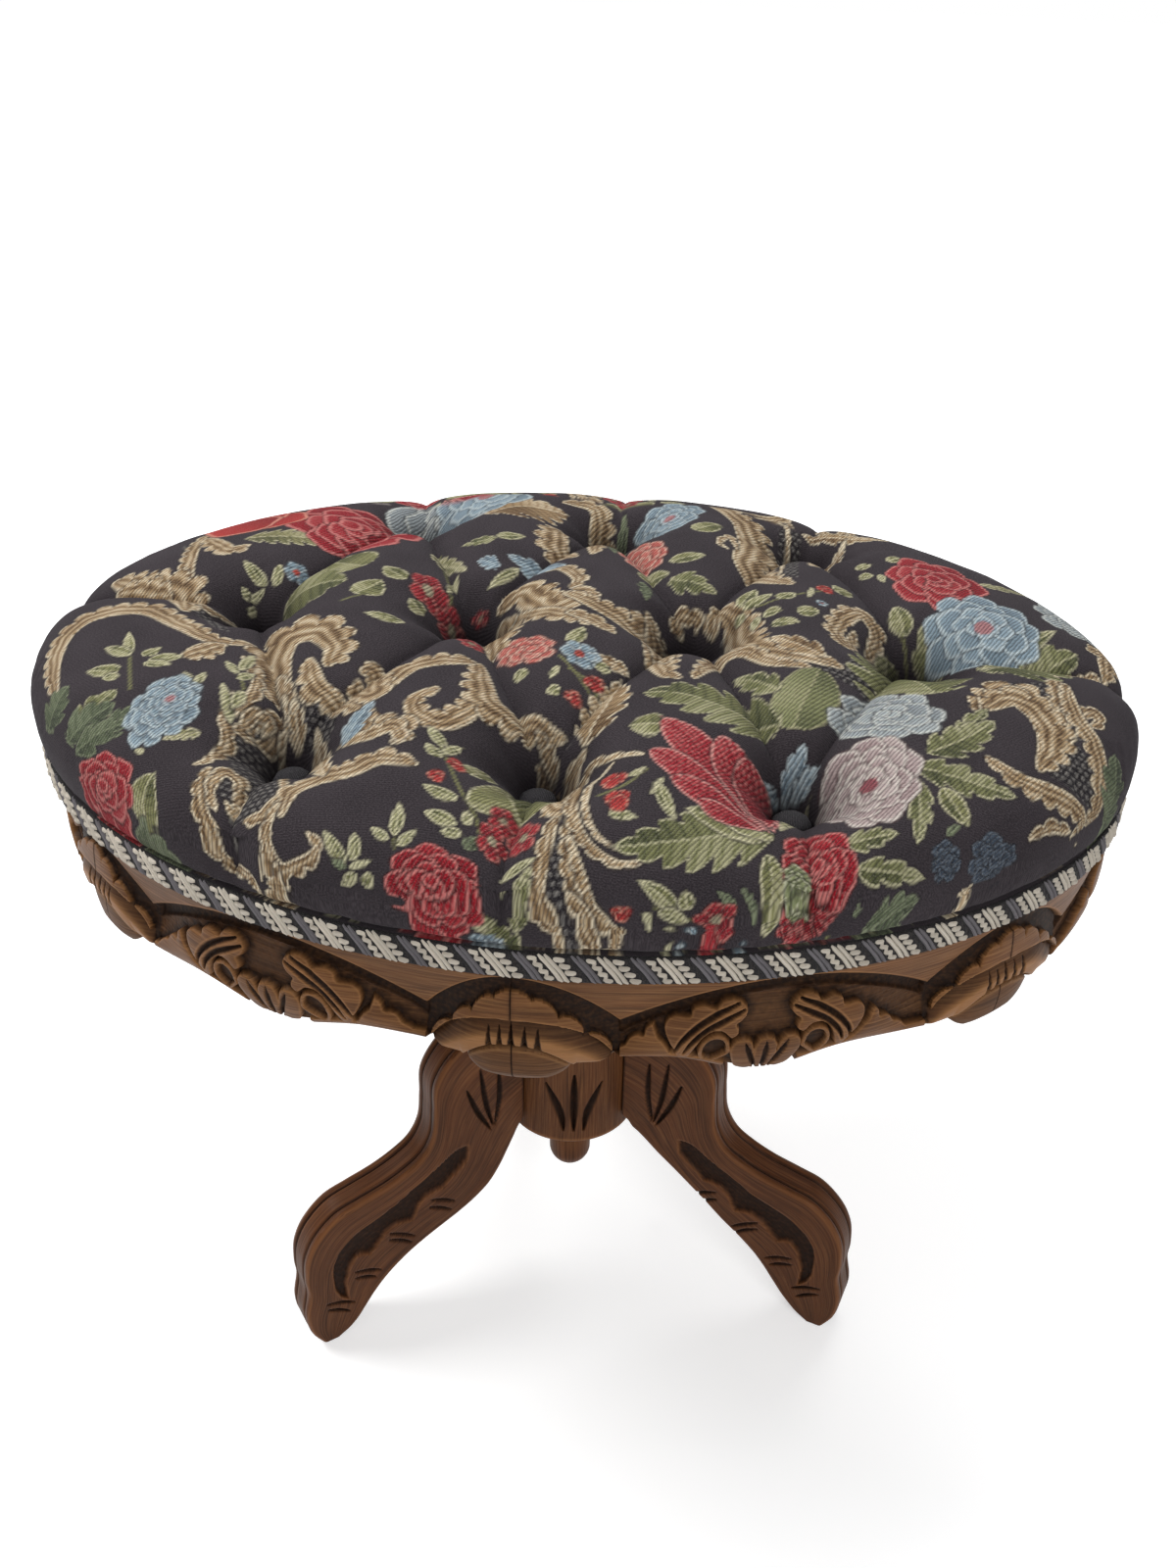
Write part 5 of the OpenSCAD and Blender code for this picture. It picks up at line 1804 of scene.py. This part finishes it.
def carve_leg(r, z):
    """Depth of the carving on a leg's broad face, at (distance from the column's axis, height), how
    dark it is (stained ground and cuts, partly painted shade) and how light the band's edges are
    (wear and painted highlights)."""
    band = to_shape(r, z, np.vstack([chain(GROOVE_UPPER, 60), np.array(GROOVE_LOWER)]))
    ground = step(0.5, -0.9, band)
    depth = 2.6 * ground + 0.25 * ground * noise(np.stack([r, z], -1), 1.8, 31)
    dark = ground * 0.95
    wear_and_highlight = bell(band - 0.6, 0.7) * 0.6
    cuts = [gouge(r, z, path, 2.1, 2.6, 0.9, 0.05, 0.7) for path in FAN_CUTS]
    cuts += [gouge(r, z, path, 1.5, 2.1, 0.86, 0.07, 0.6, 16) for path in SHORT_CUTS]
    for deep, black in cuts:
        depth = depth + deep
        dark = np.maximum(dark, black)
    return depth, dark, wear_and_highlight


# Each leg was sawn a little differently: how much higher its lower line runs, at distances from
# the column's axis
LEG_UNDER = [
    [(42, 0), (49, -3), (56, -10), (63, -14.5), (70, -16), (78, -15.5), (93, -13), (102, -10.5),
     (111, -7.5), (120, -6), (134, -5), (146, -2.4), (152, 0), (156, 2), (162, 1), (175, 0)],
    [(42, 0), (57, 6.7), (72, 8.2), (91, 6), (111, 2.8), (130, 0.6), (148, -0.6), (159, 3),
     (168, 1.5), (175, 0)],
    [(42, 0), (175, 0)],
]


def underside(number):
    """The lower line of one of the legs."""
    at, higher = zip(*LEG_UNDER[number])
    return [(r, z + float(np.interp(r, at, higher))) for r, z in LEG_BACK]


class POUF_OT_legs(bpy.types.Operator):
    """Models the three carved cabriole legs"""

    bl_idname = "pouf.legs"
    bl_label = "Legs"

    stations = 330
    broad = 56
    narrow = 30
    corner = 2.6

    def execute(self, context):
        material = carved_walnut("carved_leg_walnut", 0.68, 1.18)
        names = (("leg_carved_front_left", "leg_front_left"),
                 ("leg_carved_front_right", "leg_front_right"),
                 ("leg_carved_rear", "leg_rear"))
        for k, (name, node) in enumerate(names):
            leg = self.carve(k, name)
            settle(leg, material, "dark_walnut", node)
        return {"FINISHED"}

    def carve(self, k, name):
        """One leg: its sawn outline, its carving and its place at the column."""
        half = sizes().leg_thickness / MM / 2
        front = self.even(LEG_FRONT)
        back = self.even(underside(k))
        around_u, around_y = self.section()
        p = back[:, None, :] + (front - back)[:, None, :] * around_u[None, :, None]
        r, z = p[..., 0], p[..., 1]
        width = np.linalg.norm(front - back, axis=1)[:, None]
        edge = np.minimum(around_u, 1 - around_u)[None, :] * width
        y = np.broadcast_to(around_y, r.shape) * half
        broad = np.abs(around_y)[None, :] >= 0.999
        corner = self.corner
        sagitta = corner - np.sqrt(np.clip(corner ** 2 - (corner - edge) ** 2, 0, None))
        round_off = np.where(edge < corner, sagitta, 0)
        narrow = np.clip(y, -(half - corner), half - corner)
        y = np.where(broad, np.sign(y) * (half - round_off), narrow)
        depth, dark, wear_and_highlight = carve_leg(r, z)
        depth, dark, wear_and_highlight = (np.where(broad, v, 0) for v in (depth, dark, wear_and_highlight))
        y = y - np.sign(y) * np.where(broad, depth, 0)
        outer = (around_u > 0.999)[None, :] & ~broad
        station = np.linspace(0, 1, self.stations)[:, None]
        groove = sum(cut(np.abs(around_y[None, :] - at) * half, 1.5, 1.8) for at in OUTER_LINES)
        fade = step(0.10, 0.16, station) * step(1.0, 0.95, station)
        way = front - back
        way = way / np.linalg.norm(way, axis=1, keepdims=True)
        push = np.where(outer, groove * fade, 0)
        r = r - way[:, None, 0] * push
        z = z - way[:, None, 1] * push
        dark = np.maximum(dark, np.where(outer, np.clip(groove / 1.8, 0, 1) * fade, 0))
        # The broad faces are lightened along their rounded corners: painted highlight, partly wear.
        wear_and_highlight = np.maximum(wear_and_highlight, bell(edge - 1.2, 1.0) * broad * 0.7)
        # Darker in a narrow band where the leg meets the column.
        dark = np.maximum(dark, 0.7 * step(COLUMN_R + 1.5, COLUMN_R + 0.2, r))
        along = np.r_[0, np.cumsum(np.linalg.norm(np.diff((front + back) / 2, axis=0), axis=1))]
        turn = LEG_TURNS[k]
        out = np.array([math.cos(turn), math.sin(turn)])
        side = np.array([-out[1], out[0]])
        fit = np.sqrt(np.clip((COLUMN_R + 0.15) ** 2 - y ** 2, 0, None))
        rr = np.maximum(r, fit)
        world = rr[..., None] * out + y[..., None] * side
        points = np.concatenate([world, np.maximum(z, 0)[..., None]], -1)
        u = np.broadcast_to(along[:, None], r.shape)
        v = np.broadcast_to(around_u[None, :] * 45 + around_y[None, :] * 13, r.shape)
        grain = np.stack([u * MM + 2.3 * k, v * MM + 0.37 * k], -1)
        return carved_piece(name, points, tube_faces(*r.shape), dark, wear_and_highlight, grain, 50)

    def even(self, points):
        """Points of a side of the outline, with the same number of stations between given points
        on both sides."""
        p = np.asarray(points, float)
        at = np.linspace(0, len(p) - 1, self.stations)
        k = np.clip(np.floor(at).astype(int), 0, len(p) - 2)
        t = (at - k)[:, None]
        a, b, c, d = p[np.maximum(k - 1, 0)], p[k], p[k + 1], p[np.minimum(k + 2, len(p) - 1)]
        return spline(a, b, c, d, t)

    def section(self):
        """Round a leg's section: the share across from the inner to the outer edge, and the side
        from -1 to 1."""
        across = 0.5 - 0.5 * np.cos(np.linspace(0, math.pi, self.broad))
        across = 0.35 * across + 0.65 * np.linspace(0, 1, self.broad)
        over = np.linspace(-1, 1, self.narrow + 2)[1:-1]
        u = np.r_[across, np.ones(self.narrow), across[::-1], np.zeros(self.narrow)]
        y = np.r_[-np.ones(self.broad), over, np.ones(self.broad), over[::-1]]
        return u, y


class POUF_OT_column(bpy.types.Operator):
    """Models the column with its cut leaves, and turns the drop finial under it"""

    bl_idname = "pouf.column"
    bl_label = "Column and finial"

    def execute(self, context):
        bottom, top = COLUMN_LOW[2] - FOOT_DROP, SHAFT_TOP
        angle = np.linspace(0, 2 * math.pi, COLUMN_STEPS + 1)[:-1]
        z_side = np.r_[np.linspace(bottom + 1.2, 212, 120), np.linspace(216, top, 24)]
        profile = [(0.02, bottom), (12, bottom), (30, bottom), (COLUMN_R - 1.0, bottom),
                   (COLUMN_R - 0.3, bottom + 0.4)]
        profile += [(COLUMN_R, z) for z in z_side]
        profile += [(20, top), (20, COLUMN_HIGH[2]), (0.02, COLUMN_HIGH[2])]
        r, z = (np.array(v)[:, None] + 0 * angle[None, :] for v in zip(*profile))
        depth = np.zeros(r.shape)
        dark = np.zeros(r.shape)
        side = (r > COLUMN_R - 0.5)
        left, right, rear = LEG_TURNS
        for middle in ((left + right) / 2, (right + rear) / 2 + math.pi, (rear + left) / 2):
            away = np.mod(angle[None, :] - middle + math.pi, 2 * math.pi) - math.pi
            x = away * COLUMN_R + 0 * z
            for k in (-1, 0, 1):
                path = [(6.4 * k, bottom + 10), (9.0 * k, bottom + 26),
                        (18 * k, bottom + 57 - 9 * abs(k))]
                deep, black = gouge(x, z, path, 3.1, 3.4, 0.9, 0.05, 0.8)
                depth = depth + side * deep
                dark = np.maximum(dark, side * black)
        r = r - depth
        points = np.stack([r * np.cos(angle), r * np.sin(angle), z], -1)
        # The cuts are darkened, and so is the underside of the foot; the foot's lower edge is
        # lightened as wear and painted highlight.
        stain_and_shade = np.maximum(dark, 0.35 * step(bottom + 1.5, bottom, z))
        wear_and_highlight = 0.8 * bell(z - bottom - 1.5, 1.2) * side
        turn = np.broadcast_to(angle, z.shape)
        grain = np.stack([z * MM + 7.1, (turn * COLUMN_R) * MM], -1)
        obj = carved_piece("column_carved", points, tube_faces(*r.shape), stain_and_shade, wear_and_highlight, grain, 45)
        settle(obj, carved_walnut("column_walnut", 0.80, 1.12), "dark_walnut", "column")
        self.add_finial()
        return {"FINISHED"}

    def add_finial(self):
        low, high = FINIAL_LOW[2], COLUMN_LOW[2]
        r = FINIAL_HIGH[0]
        arc = [(r * math.cos(a), low + r - r * math.sin(a))
               for a in np.linspace(math.pi / 2, 0, 14)[1:]]
        turned = ((0, 27), (0.4, 28.6), (1.7, 30), (2.6, 31.6), (2.8, 50), (2.6, 56), (1.2, 57.2),
                  (0.3, 58.4), (0, 59.6))
        profile = [(0.0, low)] + arc + [(r - inset, low + z) for inset, z in turned]
        profile += [(r - 0.2, high - 0.15), (6.0, high - 0.15), (6.0, high + 16), (0.0, high + 16)]
        obj = mesh_piece("finial_turned", [(x, 0, z) for x, z in profile], [],
                         [(k, k + 1) for k in range(len(profile) - 1)])
        spin = {"steps": 72, "angle": 2 * math.pi, "center": (0, 0, 0), "axis": (0, 0, 1)}
        edit(obj, (bpy.ops.mesh.spin, spin), (bpy.ops.mesh.select_all, {"action": "SELECT"}),
             (bpy.ops.mesh.remove_doubles, {"threshold": 0.00001}),
             (bpy.ops.mesh.normals_make_consistent, {"inside": False}))
        p = points_of(obj)
        ring = bell(p[:, 2] - low - 30.6, 1.4)
        # The turned groove and the top, just under the column, are darkened; a band lower down is
        # lightened as wear and painted highlight.
        attribute(obj, "stain_and_shade", 0.8 * ring + 0.5 * step(high - 6, high, p[:, 2]))
        attribute(obj, "wear_and_highlight", 0.4 * bell(p[:, 2] - low - 26, 2.0))
        corner_map(obj, "grain", np.c_[p[:, 2] * MM + 9.4, np.arctan2(p[:, 1], p[:, 0]) * r * MM])
        smooth(obj, 45)
        settle(obj, carved_walnut("finial_walnut", 0.72, 1.18), "dark_walnut", "finial")


# Finishes of the carried-over nodes

class POUF_OT_hidden(bpy.types.Operator):
    """Gives the boards, blocks, screws, dowels and twine of the frame their finishes"""

    bl_idname = "pouf.hidden"
    bl_label = "Boards, blocks and screws"

    def execute(self, context):
        beech = tuple(colours().beech)
        finishes = {
            "seat_board": plain_wood("seat_board_wood", beech, 0),
            "top_board": plain_wood("top_board_wood", tuple(v * 0.8 for v in beech), 0),
            "glue_blocks": plain_wood("block_wood", tuple(v * 0.7 for v in beech), 2),
            "mounting_cleat": plain_wood("cleat_wood", tuple(v * 0.75 for v in beech), 1),
            "leg_dowels": plain_wood("dowel_wood", beech, 0),
            "cleat_screws": screw_metal(),
            "seat_screws": screw_metal(),
            "button_twine": twine_material(),
        }
        for node, material in finishes.items():
            obj = frame["nodes"][node]
            obj.data.materials.clear()
            obj.data.materials.append(material)
        return {"FINISHED"}


# Stage

# The floor lies a hair under the feet
FLOOR_Z = -0.0005
FLOOR_RADIUS = 9.0
CAMERA_PLACE = (0.0921, -0.6939, 0.8062)
CAMERA_PITCH = 32.725
CAMERA_YAW = -6.971
CAMERA_ROLL = 1.189
IMAGE_HEIGHT = 1600
FOCAL_PIXELS = 1500
SENSOR_HEIGHT = 36.0
# Name, place, diameter and power of each lamp, and the point that they face
LAMPS = [
    ("window_left", (-1.5, 0.1, 2.0), 0.9, 32),
    ("window_right", (0.9, -1.7, 1.5), 1.0, 15),
    ("window_back", (0.5, 1.4, 2.1), 1.0, 16),
]
LAMP_AIM = (0, 0, 0.3)
# Colour and strength of the sky as it lights the pieces, and as the camera sees it
SKY_ON_PIECES = ((0.95, 0.97, 1.0, 1), 0.36)
SKY_SEEN = ((1, 1, 1, 1), 1.0)


class POUF_OT_stage(bpy.types.Operator):
    """Adds the floor, the soft studio lights and the camera"""

    bl_idname = "pouf.stage"
    bl_label = "Stage"

    def execute(self, context):
        self.add_floor()
        self.add_camera()
        n = Nodes("studio", "worlds", "ShaderNodeOutputWorld")
        bpy.context.scene.world = n.owner
        lights = []
        for tint, strength in (SKY_ON_PIECES, SKY_SEEN):
            light = n.add("ShaderNodeBackground")
            light.inputs["Color"].default_value = tint
            light.inputs["Strength"].default_value = strength
            lights.append(light.outputs[0])
        path = n.add("ShaderNodeLightPath")
        seen = n.maths("MAXIMUM", path.outputs["Is Camera Ray"],
                       path.outputs["Is Transmission Ray"])
        n.link(n.choose(seen, *lights), n.out.inputs["Surface"])
        for lamp in LAMPS:
            self.add_lamp(*lamp)
        bpy.context.scene.view_settings.view_transform = "Standard"
        return {"FINISHED"}

    def add_lamp(self, name, place, size, power):
        lamp = bpy.data.lights.new(name, "AREA")
        lamp.shape = "DISK"
        lamp.size = size
        lamp.energy = power
        obj = add_object(name, lamp)
        obj.location = place
        ahead = Vector(LAMP_AIM) - Vector(place)
        obj.rotation_euler = ahead.to_track_quat("-Z", "Y").to_euler()

    def add_floor(self):
        deselect()
        bpy.ops.mesh.primitive_circle_add(vertices=96, radius=FLOOR_RADIUS, fill_type="NGON",
                                          location=(0, 0, FLOOR_Z))
        floor = take("floor")
        bpy.ops.object.transform_apply(location=True)
        n = Nodes("pale_floor")
        path = n.add("ShaderNodeLightPath")
        seen = n.maths("MAXIMUM", path.outputs["Is Camera Ray"], path.outputs["Is Glossy Ray"])
        seen = n.maths("MAXIMUM", seen, path.outputs["Is Transmission Ray"])
        diffuse = n.add("ShaderNodeBsdfDiffuse")
        diffuse.inputs["Color"].default_value = (0.80, 0.80, 0.80, 1)
        glow = n.add("ShaderNodeEmission")
        glow.inputs["Color"].default_value = (1, 1, 1, 1)
        away = n.add("ShaderNodeVectorMath", operation="LENGTH")
        n.put(away.inputs[0], n.objects())
        # The glow is weaker near the pouf, which paints the floor greyer round it: a broad painted
        # shade about its real shadow.
        n.put(glow.inputs["Strength"], n.spread(away.outputs["Value"], 0.30, 1.6, 0.48, 1.1))
        bright = n.add("ShaderNodeAddShader")
        n.link(diffuse.outputs[0], bright.inputs[0])
        n.link(glow.outputs[0], bright.inputs[1])
        n.link(n.choose(seen, diffuse.outputs[0], bright.outputs[0]), n.out.inputs["Surface"])
        floor.data.materials.append(n.owner)

    def add_camera(self):
        pitch, yaw, roll = (math.radians(a) for a in (CAMERA_PITCH, CAMERA_YAW, CAMERA_ROLL))
        ahead = Vector((math.sin(yaw) * math.cos(pitch), math.cos(yaw) * math.cos(pitch),
                        -math.sin(pitch)))
        right0 = Vector((math.cos(yaw), -math.sin(yaw), 0))
        up0 = right0.cross(ahead)
        right = right0 * math.cos(roll) + up0 * math.sin(roll)
        up = -right0 * math.sin(roll) + up0 * math.cos(roll)
        data = bpy.data.cameras.new("camera")
        data.sensor_fit = "VERTICAL"
        data.sensor_height = SENSOR_HEIGHT
        data.lens = FOCAL_PIXELS / IMAGE_HEIGHT * SENSOR_HEIGHT
        data.clip_start = 0.05
        camera = add_object("camera", data)
        turn = Matrix((right, up, -ahead)).transposed().to_4x4()
        camera.matrix_world = Matrix.Translation(CAMERA_PLACE) @ turn
        bpy.context.scene.camera = camera


OPERATORS = (POUF_OT_stage, POUF_OT_cushion, POUF_OT_buttons, POUF_OT_braid, POUF_OT_apron,
             POUF_OT_column, POUF_OT_legs, POUF_OT_hidden)


class POUF_PT_panel(bpy.types.Panel):
    """Lists the pieces of the pouf"""

    bl_idname = "POUF_PT_panel"
    bl_label = "Pouf"
    bl_space_type = "VIEW_3D"
    bl_region_type = "UI"
    bl_category = "Pouf"

    def draw(self, context):
        for group in (context.scene.pouf_sizes, context.scene.pouf_colours):
            for key in group.__annotations__:
                self.layout.prop(group, key)
        for operator in OPERATORS:
            self.layout.operator(operator.bl_idname)


CLASSES = (PoufSizes, PoufColours) + OPERATORS + (POUF_PT_panel,)


def register():
    for item in CLASSES:
        bpy.utils.register_class(item)
    bpy.types.Scene.pouf_sizes = bpy.props.PointerProperty(type=PoufSizes)
    bpy.types.Scene.pouf_colours = bpy.props.PointerProperty(type=PoufColours)


def unregister():
    del bpy.types.Scene.pouf_colours
    del bpy.types.Scene.pouf_sizes
    for item in reversed(CLASSES):
        bpy.utils.unregister_class(item)


def main():
    register()
    bpy.ops.pouf.stage()
    bpy.ops.pouf.cushion()
    bpy.ops.pouf.buttons()
    bpy.ops.pouf.braid()
    bpy.ops.pouf.apron()
    bpy.ops.pouf.column()
    bpy.ops.pouf.legs()
    bpy.ops.pouf.hidden()


if __name__ == "__main__":
    main()
